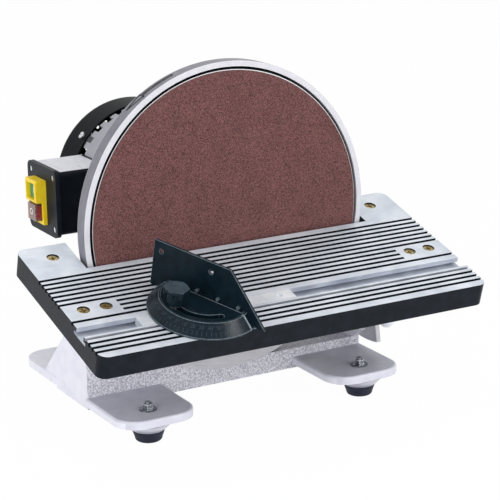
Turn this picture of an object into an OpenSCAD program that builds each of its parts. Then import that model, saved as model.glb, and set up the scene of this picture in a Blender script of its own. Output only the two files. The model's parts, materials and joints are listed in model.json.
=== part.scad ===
// Benchtop disc sander. X runs to the right, Y away from the operator, Z up.
// The origin lies on the bench, straight below the centre of the abrasive face.

/* [Sanding disc] */
// Diameter of the abrasive disc
disc_d = 305; // [290:1:320]
// Height of the disc centre above the bench
disc_z = 199.5; // [195:0.5:212]
// Thickness of the abrasive disc
abrasive_t = 1; // [0.6:0.1:2]
// Thickness of the aluminium disc plate
plate_t = 10; // [8:0.5:11]
// How far the plate shows round the abrasive
plate_rim = 1.8; // [0.5:0.1:3]
// Radial gap between plate and guard
rim_gap = 2; // [1:0.1:4]
// Radius of the hub behind the plate
hub_r = 28; // [20:0.5:32]
// Length of the hub
hub_l = 28; // [20:0.5:32]

/* [Guard] */
// Wall of the guard ring, seen from the front
guard_wall = 6; // [5:0.5:8]
// Front face of the guard, behind the abrasive face
guard_front = 0.5; // [0.3:0.1:2]
// Depth of the guard ring
guard_depth = 20; // [18:0.5:26]
// Thickness of the guard's back
guard_back_t = 5; // [4:0.5:6]
// Radius of the neck that carries the motor
neck_r = 82; // [76:1:84]
// Length of the neck
neck_l = 32; // [26:1:40]
// Outer radius of the dust spout
spout_r = 30; // [24:0.5:32]
// Wall of the dust spout
spout_wall = 3; // [2:0.5:4]
// Length of the dust spout behind the guard
spout_l = 42; // [30:1:60]
// Sideways place of the dust spout
spout_x = 98; // [94:1:102]
// Drop of the dust spout below the disc centre
spout_drop = 76; // [70:1:80]
// Height of the lower cover's top edge below the disc centre
cover_drop = 74; // [70:1:90]
// How far the lower cover stands in front of the abrasive
cover_front = 7; // [6:0.5:9]
// Sheet thickness of the lower cover
cover_t = 2.5; // [1.5:0.5:3]

/* [Table] */
// Width of the table
table_w = 437; // [430:1:460]
// Depth of the table in front of the disc
table_front = 151; // [150:1:170]
// Reach of the wings beside the disc
wing_back = 52; // [46:1:58]
// Thickness of the table's rim
table_t = 24.5; // [23:0.5:28]
// Thickness of the table's top over the pockets
table_skin = 10; // [9:0.5:12]
// Radius of the table's corners
table_corner = 10; // [5:1:14]
// Gap between wing and guard
wing_gap = 1.7; // [1:0.1:4]
// Gap between table edge and abrasive
table_gap = 5.8; // [5:0.1:8]
// Table edge below the disc centre
table_drop = 26.5; // [24:0.5:30]
// Tilt of the table at rest, front edge down
table_tilt = 16; // [4:1:40]
// Greatest tilt of the table
tilt_max = 45; // [42:1:46]

/* [Table grooves and slot] */
// Distance from groove to groove
groove_pitch = 7.7; // [7.5:0.1:7.9]
// Width of a groove
groove_w = 3.6; // [2.5:0.1:4.5]
// Depth of a groove
groove_deep = 3.5; // [2:0.5:5]
// First groove, in front of the table's rear edge
groove_first = 9.9; // [9:0.1:10.5]
// Distance from the rear edge to the middle of the mitre slot
slot_y = 104.6; // [104:0.1:105.5]
// Width of the mitre slot at the top
slot_w = 16; // [14:0.1:17]
// Depth of the mitre slot
slot_deep = 8.2; // [7.5:0.1:9]
// Width of the undercut at the bottom of the slot
undercut_w = 25; // [22:0.5:26]
// Height of the undercut
undercut_h = 3.2; // [2.5:0.1:3.6]
// Length of the flat pads at the table's ends
pad_l = 57; // [54:1:60]

/* [Base] */
// Width over the side walls of the base
base_w = 326; // [322:1:328]
// Front wall, behind the abrasive face
base_y = 7; // [6:0.5:9]
// Depth of the base between front and rear wall
base_d = 78; // [76:1:90]
// Thickness of the walls
wall = 8; // [6:0.5:9]
// Height of the deck above the bench
deck_z = 41.5; // [40.5:0.5:42.5]
// Underside of the walls above the bench
skirt_z = 19.5; // [16.5:0.5:22.5]
// Top of the ears above the bench
ear_z = 32; // [30.5:0.5:34.5]
// Thickness of an ear at its rim
ear_t = 8.5; // [7.5:0.5:10.5]
// Width of an ear
ear_w = 86; // [76:1:88]
// Reach of an ear beyond the wall
ear_l = 89; // [84:1:96]
// Corner radius of an ear
ear_r = 26; // [18:1:30]
// Foot centre from the ear's outer end
foot_in = 29; // [27:0.5:32]
// Sideways place of a foot
foot_x = 125; // [120:0.5:127]

/* [Feet and foot bolts] */
// Height of a rubber foot
foot_h = 12; // [10:0.5:14]
// Radius of a foot at the top
foot_r = 16.5; // [15:0.5:18]
// Radius of a foot on the bench
foot_low_r = 14; // [12:0.5:14.5]
// Diameter of the foot bolts
foot_bolt_d = 6; // [5:0.5:8]

/* [Motor] */
// Radius of the motor frame
motor_r = 86; // [84:0.5:87]
// Wall of the motor frame
motor_wall = 8; // [6:0.5:9]
// Length of the motor frame
motor_l = 126; // [122:1:132]
// Slots round the rear rim of the frame
motor_slots = 36; // [24:1:48]
// Depth of those slots
motor_slot_deep = 9; // [6:0.5:12]
// Radius of the motor shaft
shaft_r = 9.5; // [8:0.5:11]
// Radius of the rotor
rotor_r = 45; // [38:0.5:48]
// Air gap between rotor and stator
air_gap = 0.5; // [0.4:0.1:1]
// Outer radius of the fan cover
cowl_r = 87.5; // [87:0.5:91]
// Sheet thickness of the fan cover
cowl_t = 1.6; // [1.2:0.1:2.5]
// Length of the fan cover
cowl_l = 47; // [44:1:56]
// Space between motor frame and fan cover
cowl_gap = 3; // [2:0.5:5]
// Radius of a vent hole in the fan cover
vent_r = 1.9; // [1.5:0.1:2.1]
// Vent holes in each ring
vent_count = 36; // [24:1:40]

/* [Switch box] */
// Side of the square switch box
box_w = 68; // [64:1:72]
// Outer face of the lid, left of the disc axis
box_out = 140; // [134:1:146]
// Middle of the switch box behind the abrasive face
box_y = 154; // [150:1:158]
// Middle of the switch box above the disc centre
box_up = 6.5; // [4:0.5:9]
// Wall of the switch box
box_wall = 3; // [2:0.5:4]
// Thickness of the lid
lid_t = 5; // [4:0.5:7]
// How far the lid stands out all round
lid_lip = 2.5; // [1:0.5:3]
// Height of the yellow switch housing
switch_h = 48; // [46:0.5:52]
// Width of the switch housing
switch_w = 29; // [28:0.5:34]
// How far the switch housing stands out
switch_out = 12; // [11:0.5:14]
// Middle of the switch housing behind the middle of the box
switch_y = 3.5; // [0:0.5:4]
// Travel of the start button
start_travel = 3; // [2:0.5:3.5]
// Travel of the stop button
stop_travel = 4; // [2:0.5:5]

/* [Mitre gauge] */
// Length of the guide bar
bar_l = 170; // [150:1:200]
// Left end of the guide bar from the middle of the table
bar_x = -157; // [-165:1:-150]
// Play of the guide bar in its slot, each side
bar_play = 0.3; // [0.2:0.05:0.6]
// Turn of the head from square across the bar
head_turn = 30; // [0:1:45]
// Greatest turn of the head either way
head_max = 60; // [45:1:60]
// Radius of the protractor at the table
head_r = 55.5; // [52:0.5:58]
// Height of the protractor
head_h = 13; // [12:0.5:16]
// Inward slope of the protractor's rim
head_bevel = 10.5; // [8:0.5:12]
// Pivot from the fence's near face
fence_off = 5.5; // [5:0.5:8]
// Length of the fence along the table
fence_l = 132; // [120:1:150]
// Length of the fence along its top edge
fence_top_l = 87; // [70:1:110]
// Height of the fence
fence_h = 50; // [46:1:58]
// Thickness of the fence plate
fence_t = 3; // [2:0.5:4]
// Pivot of the head from the bar's left end
pivot_in = 69; // [64:1:72]
// Radius of the arc slot in the protractor
arc_r = 32.5; // [31:0.5:34]
// Radius of the clamp knob
knob_r = 13.5; // [12:0.5:15]
// Height of the clamp knob
knob_h = 17; // [15:0.5:22]

/* [Tilt bearing] */
// Radius of the slot that the guide bolts run in
guide_r = 73; // [70:0.5:74]
// Radius of the lock slot on the right
lock_r = 108; // [104:0.5:110]
// Outer radius of the right quadrant
quadrant_r = 132; // [128:1:134]
// Thickness of the tilt brackets
bracket_t = 5; // [4:0.5:6]
// Thickness of the bracket feet under the table
flange_t = 8; // [6:0.5:9]
// Length of the lock lever
lever_l = 62; // [50:1:66]

/* [Hidden] */
$fn = 64;

// Clearances that seats and fits share
fit = 0.05;      // between a shaft or screw and its own hole
slip = 0.3;      // between pieces that move past each other
over = 1;        // how far a cutter runs past the face it opens

// Radii that follow from the disc
abrasive_r = disc_d / 2;
plate_r = abrasive_r + plate_rim;
guard_in_r = plate_r + rim_gap;
guard_r = guard_in_r + guard_wall;
guard_end = guard_front + guard_depth;
neck_end = guard_end + neck_l;

// Colours
grey_paint = "gainsboro";
black_paint = "#22262a";
bare_iron = "silver";
zinc = "lightgray";

// Directions: a solid drawn upwards is laid along Y or X
module along_y() { rotate([-90, 0, 0]) children(); }
module along_x() { rotate([0, 90, 0]) children(); }
module at_disc(y = 0) { translate([0, y, disc_z]) children(); }
module to_side(side) { mirror([side < 0 ? 1 : 0, 0, 0]) children(); }

// A tube or rod along Y from y0 to y1 round the disc axis
module disc_rod(r, y0, y1) {
    at_disc(y0) along_y() cylinder(r = r, h = y1 - y0);
}
module disc_tube(r_out, r_in, y0, y1) {
    difference() {
        disc_rod(r_out, y0, y1);
        disc_rod(r_in, y0 - over, y1 + over);
    }
}
// A plate with rounded upright edges, from corner a to corner b
module rounded_plate(a, b, r) {
    size = b - a;
    translate(a) {
        translate([r, 0, 0]) cube([size.x - 2 * r, size.y, size.z]);
        translate([0, r, 0]) cube([size.x, size.y - 2 * r, size.z]);
        for (x = [r, size.x - r], y = [r, size.y - r]) {
            translate([x, y, 0]) cylinder(r = r, h = size.z);
        }
    }
}
module block(a, b) { translate(a) cube(b - a); }
// A flat outline in Y and Z, made into a plate from x0 to x0 + t
module side_plate(x0, t) {
    translate([x0, 0, 0]) rotate([90, 0, 90]) linear_extrude(t) children();
}
// A hexagon head or nut, standing upwards
module hex_rod(across_flats, h) { cylinder(r = across_flats / 2 / cos(30), h = h, $fn = 6); }

// Base: an open-bottomed iron box with four ears and two uprights
foot_front = base_y - ear_l + foot_in;
foot_back = base_y + base_d + ear_l - foot_in;
foot_places = [for (x = [-foot_x, foot_x], y = [foot_front, foot_back]) [x, y]];
ear_lip = 2;          // an ear stands out this far beyond the side wall
ear_out = base_w / 2 + ear_lip;
boss_flare = 12;      // the boss over a foot widens by this much
web_top = deck_z + 40;    // front wall on the left, behind the table
web_end = -40;
upright_lobe = 12;    // iron round each guide bolt
flare = 14;           // the right upright leans forward by this much
flare_up = 10;
gusset_back = 29;     // the upright's slope meets the ear this far behind the rear wall

hinge_y = -table_gap;
hinge_z = disc_z - table_drop;
function around(r, phi) = [hinge_y + r * sin(phi), hinge_z - r * cos(phi)];
guide_phi = [14, 40];   // guide bolts, from straight down towards the back
lock_phi = 26;
guide_bolt_r = 4;
lock_stud_r = 5;
upright_x = base_w / 2 - wall;
upright_clear = 0.7;    // the uprights' outer faces stand at least this far outside the guard
upright_end = max(base_w / 2, guard_r + upright_clear);
upright_t = upright_end - upright_x;

module ear() {
    inner = ear_out - ear_w;
    translate([0, 0, ear_z - ear_t]) {
        rounded_plate([inner, -ear_l, 0], [ear_out, 0, ear_t], ear_r);
        block([inner, -ear_l / 2, 0], [ear_out, 1, ear_t]);
    }
    translate([foot_x, -ear_l + foot_in, foot_h]) {
        cylinder(r1 = foot_r, r2 = foot_r + boss_flare, h = ear_z - ear_t - foot_h + fit);
    }
}
module upright_outline(lean) {
    low = around(guide_r, guide_phi[0]);
    high = around(guide_r, guide_phi[1]);
    along = (high - low) / norm(high - low);
    tie = upright_lobe - 0.4;   // the straight sides start just inside the round lobes
    up = tie * [-along.y, along.x];
    back = high.x + tie;
    slope_end = [base_y + base_d + gusset_back, ear_z - 1];
    slope_top = slope_end.y + slope_end.x - back;
    for (p = [low, high]) {
        translate(p) circle(r = upright_lobe);
    }
    polygon([
        [base_y, ear_z - ear_t],
        [base_y, deck_z],
        [base_y - lean, deck_z + flare_up],
        [base_y - lean, low.y - 2 * upright_lobe],
        low - [tie, 0],
        low + up,
        high + up,
        [back, high.y],
        [back, slope_top],
        slope_end,
        [slope_end.x, ear_z - ear_t]
    ]);
}
module guide_bolt_holes(side, r) {
    for (phi = guide_phi) {
        p = around(guide_r, phi);
        translate([side * upright_x - side * over, p.x, p.y]) rotate([0, 90 * side, 0])
            cylinder(r = r, h = upright_t + 2 * over);
    }
}
guard_foot_x = 75;
guard_foot_y = [guard_end + 3.5, base_y + base_d - 5];
guard_foot_t = 10;
guard_bolt_in = 10;   // a bolt's place from the foot's edges
guard_bolt_x = guard_foot_x - guard_bolt_in;
guard_bolt_y = [guard_foot_y[0] + guard_bolt_in, guard_foot_y[1] - guard_bolt_in];
guard_bolt_r = 4;
guard_bolt_seat_r = 9;
guard_bolt_places = [for (x = [-guard_bolt_x, guard_bolt_x], y = guard_bolt_y) [x, y]];

module base_casting() color(grey_paint) difference() {
    union() {
        difference() {
            block([-base_w / 2, base_y, skirt_z], [base_w / 2, base_y + base_d, deck_z]);
            block([-upright_x, base_y + wall, skirt_z - over],
                  [upright_x, base_y + base_d - wall, deck_z - wall]);
        }
        for (side = [-1, 1]) {
            to_side(side) {
                translate([0, base_y, 0]) ear();
                translate([0, base_y + base_d, 0]) mirror([0, 1, 0]) ear();
            }
        }
        side_plate(-upright_end, upright_t) upright_outline(0);
        side_plate(upright_x, upright_t) upright_outline(flare);
        block([-upright_end, base_y, deck_z - over], [web_end, base_y + wall, web_top]);
    }
    disc_rod(guard_r + slip, guard_front - over, guard_end + slip);
    for (p = foot_places) {
        translate([p.x, p.y, 0]) cylinder(r = foot_bolt_d / 2 + slip, h = ear_z + over);
    }
    for (p = guard_bolt_places) {
        translate([p.x, p.y, 0]) cylinder(r = guard_bolt_r + fit, h = deck_z + over);
    }
    guide_bolt_holes(-1, guide_bolt_r + fit);
    guide_bolt_holes(1, guide_bolt_r + fit);
    lock_place = around(lock_r, lock_phi);
    translate([upright_x - over, lock_place.x, lock_place.y]) along_x()
        cylinder(r = lock_stud_r + fit, h = upright_t + 2 * over);
}

// Feet
foot_head_r = 6;
foot_head_h = 4;
foot_head_z = 2.5;
washer_t = 1.5;
foot_nut_h = 5;
module foot_outline() {
    edge = 4;
    difference() {
        union() {
            polygon([[0, 0], [foot_low_r - edge, 0], [foot_low_r, edge],
                     [foot_r, foot_h - 1], [foot_r, foot_h], [0, foot_h]]);
            translate([foot_low_r - edge, edge]) circle(r = edge);
        }
        square([foot_bolt_d / 2 + fit, foot_h + over]);
        square([foot_head_r + slip, foot_head_z + foot_head_h]);
        translate([-2 * foot_r, -over]) square([2 * foot_r, foot_h + 2 * over]);
    }
}
module at_feet() {
    for (p = foot_places) {
        translate([p.x, p.y, 0]) children();
    }
}
module rubber_feet() color(black_paint) at_feet() rotate_extrude() foot_outline();
module foot_bolts() color(zinc) at_feet() translate([0, 0, foot_head_z]) {
    cylinder(r = foot_head_r, h = foot_head_h);
    cylinder(r = foot_bolt_d / 2, h = ear_z + washer_t + foot_nut_h + 2 - foot_head_z);
}
module foot_washers() color(zinc) at_feet() translate([0, 0, ear_z]) difference() {
    cylinder(r = 1.5 * foot_bolt_d, h = washer_t);
    translate([0, 0, -over]) cylinder(r = foot_bolt_d / 2 + fit, h = washer_t + 2 * over);
}
module foot_nuts() color(zinc) at_feet() translate([0, 0, ear_z + washer_t]) difference() {
    hex_rod(foot_bolt_d * 5 / 3, foot_nut_h);
    translate([0, 0, -over]) cylinder(r = foot_bolt_d / 2 + fit, h = foot_nut_h + 2 * over);
}

// Guard: a dished ring that carries the motor and stands on the base
hub_hole_r = hub_r + 4;
neck_wall = 8;
neck_flange_t = 8;
neck_flange_r = neck_r - 20;
bell_screw_place = neck_r - 14;
bell_screw_r = 3;
bell_screw_head_r = 5;
rib_angles = [12, 52, 90, 128, 168, 215];
rib_h = 8;
rib_w = 6;
spout_z = -spout_drop;
spout_flange_t = 3;
spout_flange_r = spout_r + 3;
cover_r = guard_in_r + 1.9;
cover_edge = 5;
lug_r = 4;
lug_t = 3.5;
lug_angles = [-34, -60, -120, -146];
lug_seat = 0.3;       // a screw head's seat in its lug
lug_place = guard_in_r + guard_wall / 2 + 0.7;
cover_screw_r = 1.5;
cover_head_r = 2.75;
cover_screw_in = 8;    // how far a cover screw goes into the guard

module guard_outline() {
    back = guard_back_t;
    translate([guard_in_r, 0]) square([guard_wall, guard_depth - back]);
    translate([hub_hole_r, guard_depth - back]) square([guard_r - back - hub_hole_r, back]);
    translate([guard_r - back, guard_depth - back]) intersection() {
        circle(r = back);
        square(back);
    }
}
module pedestal() {
    half = 58;
    side_plate(-half, 2 * half) polygon([
        [guard_end - 2, deck_z],
        [guard_end - 2, disc_z - 60],
        [neck_end, disc_z - 60],
        [neck_end, disc_z - motor_r - 4],
        [guard_foot_y[1], deck_z + guard_foot_t + 12],
        [guard_foot_y[1], deck_z]
    ]);
    rounded_plate([-guard_foot_x, guard_foot_y[0], deck_z],
                  [guard_foot_x, guard_foot_y[1], deck_z + guard_foot_t], 6);
}
module around_disc(angle, r) {
    rotate([0, -angle, 0]) translate([r, 0, 0]) children();
}
module disc_guard() color(grey_paint) difference() {
    union() {
        at_disc(guard_front) along_y() rotate_extrude($fn = 96) guard_outline();
        disc_tube(neck_r, neck_r - neck_wall, guard_end - over, neck_end);
        disc_tube(neck_r - over, neck_flange_r, neck_end - neck_flange_t, neck_end);
        pedestal();
        for (a = rib_angles) {
            at_disc(guard_end - over) around_disc(a, neck_r - over)
                block([0, 0, -rib_w / 2], [guard_in_r - neck_r - 6, rib_h + over, rib_w / 2]);
        }
    }
    disc_rod(neck_r - neck_wall, guard_end, neck_end - neck_flange_t);
    disc_rod(neck_flange_r, guard_end, neck_end + over);
    at_disc(guard_front) translate([spout_x, 0, spout_z]) along_y()
        cylinder(r = spout_r - spout_wall, h = guard_depth + over);
    for (p = guard_bolt_places) {
        translate([p.x, p.y, deck_z - over]) cylinder(r = guard_bolt_r + slip, h = guard_foot_t + 2 * over);
        translate([p.x, p.y, deck_z + guard_foot_t]) cylinder(r = guard_bolt_seat_r, h = 30);
    }
    for (a = lug_angles) {
        at_disc(guard_front - over) around_disc(a, lug_place) along_y()
            cylinder(r = cover_screw_r + fit, h = cover_screw_in + 2 + over);
    }
    for (a = [45:90:315]) {
        at_disc(neck_end - neck_flange_t - over) around_disc(a, bell_screw_place) along_y()
            cylinder(r = bell_screw_r + fit, h = neck_flange_t + 2 * over);
    }
}
module guard_bolts() color(zinc) for (p = guard_bolt_places) {
    translate([p.x, p.y, deck_z + guard_foot_t]) {
        hex_rod(13, 5.5);
        translate([0, 0, -guard_foot_t - wall - 2]) cylinder(r = guard_bolt_r, h = guard_foot_t + wall + 3);
    }
}
module cover_outline(r_out, thick) {
    depth = cover_front + guard_front;
    e = cover_edge;
    square([r_out - e, thick]);
    translate([r_out - e, 0]) difference() {
        intersection() {
            translate([0, e]) circle(r = e);
            square([e, e]);
        }
        translate([0, e]) circle(r = e - thick);
    }
    translate([r_out - thick, e]) square([thick, depth - e]);
}
module lower_disc_cover() color(grey_paint) difference() {
    union() {
        at_disc(-cover_front) along_y() rotate_extrude($fn = 96) cover_outline(cover_r, cover_t);
        for (a = lug_angles) {
            at_disc(guard_front - lug_t) around_disc(a, lug_place) along_y() cylinder(r = lug_r, h = lug_t);
        }
    }
    block([-guard_r - over, -cover_front - over, disc_z - cover_drop],
          [guard_r + over, guard_front + over, disc_z + guard_r + over]);
    for (a = lug_angles) {
        at_disc(guard_front - lug_t - over) around_disc(a, lug_place) along_y()
            cylinder(r = cover_screw_r + fit, h = lug_t + 2 * over);
        at_disc(-cover_front - over) around_disc(a, lug_place) along_y()
            cylinder(r = cover_head_r + slip, h = cover_front + over + guard_front - lug_t + lug_seat);
    }
}
module cover_screws() color(zinc) for (a = lug_angles) {
    at_disc(guard_front - lug_t + lug_seat) around_disc(a, lug_place) along_y() {
        translate([0, 0, -2.2]) cylinder(r = cover_head_r, h = 2.2);
        cylinder(r = cover_screw_r, h = lug_t + cover_screw_in);
    }
}
module dust_spout() color(black_paint) at_disc(guard_end) translate([spout_x, 0, spout_z]) along_y()
    difference() {
        union() {
            cylinder(r = spout_flange_r, h = spout_flange_t);
            cylinder(r = spout_r, h = spout_l);
        }
        translate([0, 0, -over]) cylinder(r = spout_r - spout_wall, h = spout_l + 2 * over);
    }

// Disc, keyed to the motor shaft
plate_back = abrasive_t + plate_t;
hub_end = plate_back + hub_l;
key_w = 6;
key_h = 6;
key_l = 20;
shaft_tip = 4.5;
set_screw_r = 3;
set_screw_y = [plate_back + 8, plate_back + 20];
module key_slot(y0, y1, play) {
    at_disc() block([-key_w / 2 - play, y0, shaft_r - key_h / 2],
                    [key_w / 2 + play, y1, shaft_r + key_h / 2 + play]);
}
module disc_plate() color(bare_iron) difference() {
    union() {
        disc_rod(plate_r, abrasive_t, plate_back);
        disc_rod(hub_r, plate_back - over, hub_end);
    }
    disc_rod(shaft_r + fit, shaft_tip, hub_end + over);
    key_slot(plate_back, hub_end + over, fit);
    for (y = set_screw_y) {
        at_disc(y) along_x() cylinder(r = set_screw_r + fit, h = hub_r + over);
    }
}
module abrasive_disc() color("#7c5050") disc_rod(abrasive_r, 0, abrasive_t);
module shaft_key() color(zinc) key_slot(plate_back + 2, plate_back + 2 + key_l, 0);
module hub_set_screws() color("dimgray") for (y = set_screw_y) {
    at_disc(y) along_x() translate([0, 0, shaft_r + fit]) cylinder(r = set_screw_r, h = 10);
}

// Motor, from the front bell to the fan cover
bell_t = 14;
bell_rim = 4;         // the bell's rim that centres the frame
bell_end = neck_end + bell_t;
bearing_w = 12;
bearing_r = 20;
rear_bearing_r = 16;
rear_bearing_w = 11;
rear_shaft_r = 8.5;
rotor_shaft_r = 13;
frame_in_r = motor_r - motor_wall;
frame_end = bell_end + motor_l;
stator_in = 20;
stator_l = 56;
stator_y = [bell_end + stator_in, bell_end + stator_in + stator_l];
winding_l = 11;
winding_in = 8;        // the windings lie this far inside the frame
winding_over = 7;      // and this far outside the rotor
rear_bell_in = 24;
rear_bell_y = frame_end - rear_bell_in;
rear_bell_t = 13;
cowl_y = frame_end + cowl_gap;
cowl_end = cowl_y + cowl_l;
fan_y = cowl_y + 3;
fan_w = 16;
fan_r = 62;
cowl_screw_angles = [40, 140, 220, 320];
cowl_screw_in = 10;
cowl_screw_r = 2;
cowl_screw_l = 14;
lug_half = 7;

module motor_shaft() color(zinc) difference() {
    union() {
        disc_rod(shaft_r, shaft_tip, bell_end + 4);
        disc_rod(rotor_shaft_r, bell_end + 4, rear_bell_y - 2);
        disc_rod(rear_shaft_r, rear_bell_y - 2, fan_y + fan_w + 2);
    }
    key_slot(plate_back + 2 - fit, plate_back + 2 + key_l + fit, fit);
}
module rotor() color("slategray") disc_tube(rotor_r, rotor_shaft_r + fit, stator_y[0] + 1, stator_y[1] - 1);
module stator_core() color("dimgray")
    disc_tube(frame_in_r - fit, rotor_r + air_gap, stator_y[0], stator_y[1]);
module stator_windings() color("#a8622a") {
    for (y = [stator_y[0] - winding_l, stator_y[1]]) {
        disc_tube(frame_in_r - winding_in, rotor_r + winding_over, y, y + winding_l);
    }
}
module front_bearing() color(bare_iron)
    disc_tube(bearing_r - fit, shaft_r + fit, bell_end - bearing_w, bell_end);
module rear_bearing() color(bare_iron)
    disc_tube(rear_bearing_r - fit, rear_shaft_r + fit, rear_bell_y, rear_bell_y + rear_bearing_w);
module front_end_bell() color(grey_paint) difference() {
    union() {
        disc_rod(motor_r, neck_end, bell_end);
        disc_tube(frame_in_r - fit, frame_in_r - bell_rim, bell_end - over, bell_end + bell_rim);
    }
    disc_rod(shaft_r + 2, neck_end - over, bell_end + over);
    disc_rod(bearing_r, bell_end - bearing_w, bell_end + over);
    for (a = [45:90:315]) {
        at_disc(neck_end - over) around_disc(a, bell_screw_place) along_y()
            cylinder(r = bell_screw_r + fit, h = bell_t + 2 * over);
    }
}
module bell_screws() color(zinc) for (a = [45:90:315]) {
    at_disc(neck_end - neck_flange_t + 1) around_disc(a, bell_screw_place) along_y() {
        cylinder(r = bell_screw_r, h = neck_flange_t + bell_t);
        translate([0, 0, neck_flange_t + bell_t - 1]) cylinder(r = bell_screw_head_r, h = 4);
    }
}
module motor_frame() color(grey_paint) difference() {
    disc_tube(motor_r, frame_in_r, bell_end, frame_end);
    slot_step = 360 / motor_slots;
    for (i = [0:motor_slots - 1]) {
        at_disc(frame_end - motor_slot_deep) around_disc(i * slot_step, frame_in_r - over)
            block([0, 0, -motor_r * PI / motor_slots / 2],
                  [motor_wall + 3, motor_slot_deep + over, motor_r * PI / motor_slots / 2]);
    }
}
module rear_end_bell() color("darkgray") difference() {
    union() {
        disc_rod(frame_in_r - fit, rear_bell_y, rear_bell_y + rear_bell_t);
        for (a = cowl_screw_angles) {
            at_disc() around_disc(a, 0) {
                block([fan_r + 4, rear_bell_y + 1, -lug_half],
                      [frame_in_r - over, cowl_y + cowl_screw_in + lug_half, lug_half]);
                block([fan_r + 4, cowl_y + 2, -lug_half],
                      [cowl_r - cowl_t - 2 * slip, cowl_y + cowl_screw_in + lug_half, lug_half]);
            }
        }
    }
    disc_rod(rear_bearing_r, rear_bell_y - over, rear_bell_y + rear_bearing_w);
    disc_rod(rear_shaft_r + 2, rear_bell_y, rear_bell_y + rear_bell_t + over);
    for (a = cowl_screw_angles) {
        at_disc(cowl_y + cowl_screw_in) around_disc(a, frame_in_r - 8) along_x()
            cylinder(r = cowl_screw_r + fit, h = 20);
    }
}
module cooling_fan() color(black_paint) difference() {
    union() {
        disc_rod(14, fan_y, fan_y + fan_w);
        disc_rod(fan_r, fan_y, fan_y + 2);
        for (a = [0:45:315]) {
            at_disc(fan_y + 1) around_disc(a, 12) block([0, 0, -1.2], [fan_r - 14, fan_w - 2, 1.2]);
        }
    }
    disc_rod(rear_shaft_r + fit, fan_y - over, fan_y + fan_w + over);
}
cowl_edge = 10;
vent_rings = [64, 57];
inner_vent_rings = [48, 40];
module cowl_outline() {
    e = cowl_edge;
    translate([cowl_r - cowl_t, 0]) square([cowl_t, cowl_l - e]);
    translate([0, cowl_l - cowl_t]) square([cowl_r - e, cowl_t]);
    translate([cowl_r - e, cowl_l - e]) difference() {
        intersection() {
            circle(r = e);
            square(e);
        }
        circle(r = e - cowl_t);
    }
}
module vent_ring(r, count, hole_r, turn) {
    for (i = [0:count - 1]) {
        at_disc(cowl_end - 3 * cowl_t) around_disc((i + turn) * 360 / count, r) along_y()
            cylinder(r = hole_r, h = 4 * cowl_t);
    }
}
module fan_cover() color(black_paint) difference() {
    at_disc(cowl_y) along_y() rotate_extrude($fn = 96) cowl_outline();
    vent_ring(vent_rings[0], vent_count, vent_r, 0);
    vent_ring(vent_rings[1], vent_count, vent_r, 0.5);
    vent_ring(inner_vent_rings[0], vent_count / 2, 1.4 * vent_r, 0);
    vent_ring(inner_vent_rings[1], vent_count / 2, 1.4 * vent_r, 0.5);
    for (a = cowl_screw_angles) {
        at_disc(cowl_y + cowl_screw_in) around_disc(a, cowl_r - 4) along_x()
            cylinder(r = cowl_screw_r + fit, h = 8);
    }
}
module fan_cover_screws() color(zinc) for (a = cowl_screw_angles) {
    at_disc(cowl_y + cowl_screw_in) around_disc(a, cowl_r) along_x() {
        difference() {
            cylinder(r = 4, h = 2.4);
            translate([0, 0, 2]) block([-0.5, -5, -0.6], [0.5, 5, 1]);
        }
        translate([0, 0, -cowl_screw_l]) cylinder(r = cowl_screw_r, h = cowl_screw_l + 1);
    }
}

// Switch box on the motor's left side
box_z = disc_z + box_up;
box_in_x = -motor_r - 6;
lid_x = -box_out;
box_x = lid_x + lid_t;
box_corner = 5;
post_r = 4;
post_l = 20;
lid_screw_off = box_w / 2 - box_wall - post_r + 0.8;   // the posts grow out of the walls
lid_screw_r = 2;
lid_screw_l = 16;
gland_x = -112;
gland_thread_r = 6;
gland_bore_r = 4;
gland_flange_r = 8;
module at_box() { translate([0, box_y, box_z]) children(); }
// A block with its long edges along X rounded, half as wide as given, from x0 to x1
module x_bar(x0, x1, half, r) {
    block([x0, -half + r, -half], [x1, half - r, half]);
    block([x0, -half, -half + r], [x1, half, half - r]);
    for (y = [-half + r, half - r], z = [-half + r, half - r]) {
        translate([x0, y, z]) along_x() cylinder(r = r, h = x1 - x0);
    }
}
module lid_screw_spots() {
    for (y = [-lid_screw_off, lid_screw_off], z = [-lid_screw_off, lid_screw_off]) {
        translate([0, y, z]) children();
    }
}
module switch_box() color(black_paint) difference() {
    at_box() {
        difference() {
            x_bar(box_x, -frame_in_r + 4, box_w / 2, box_corner);
            x_bar(box_x - over, box_in_x, box_w / 2 - box_wall, 2);
        }
        lid_screw_spots() translate([box_x, 0, 0]) along_x() cylinder(r = post_r, h = post_l);
    }
    at_box() lid_screw_spots() translate([box_x - over, 0, 0]) along_x()
        cylinder(r = lid_screw_r + fit, h = post_l + over);
    disc_rod(motor_r + fit, bell_end, frame_end + over);
    at_box() translate([gland_x, box_w / 2 - box_wall - over, 0]) along_y()
        cylinder(r = gland_thread_r, h = box_wall + 2 * over);
}
switch_half_w = switch_w / 2;
switch_top = 22;
switch_low = switch_top - switch_h;
body_half_w = 11.5;
body_top = 19;
body_low = -24;
body_in = 26;
start_half_w = 8;
start_z = [2, 18];
start_face = 4;          // the start button lies this deep in its housing
start_l = 8;
stop_half_w = 10;
stop_z = [-22, -4];
stop_wall = 1.4;
stop_out = switch_out - 0.5;
low_frame = 4;           // how far the housing stands out round the stop button
split_z = -1.5;
module at_switch() { translate([lid_x, box_y + switch_y, box_z]) children(); }
module switch_box_lid() color(black_paint) difference() {
    at_box() x_bar(lid_x, box_x, box_w / 2 + lid_lip, box_corner + lid_lip);
    at_switch() block([-over, -body_half_w - fit, body_low - fit],
                      [lid_t + over, body_half_w + fit, body_top + fit]);
    at_box() lid_screw_spots() translate([lid_x - over, 0, 0]) along_x() {
        cylinder(r = 3.4, h = 2 + over);
        cylinder(r = lid_screw_r + fit, h = lid_t + 2 * over);
    }
}
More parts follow.
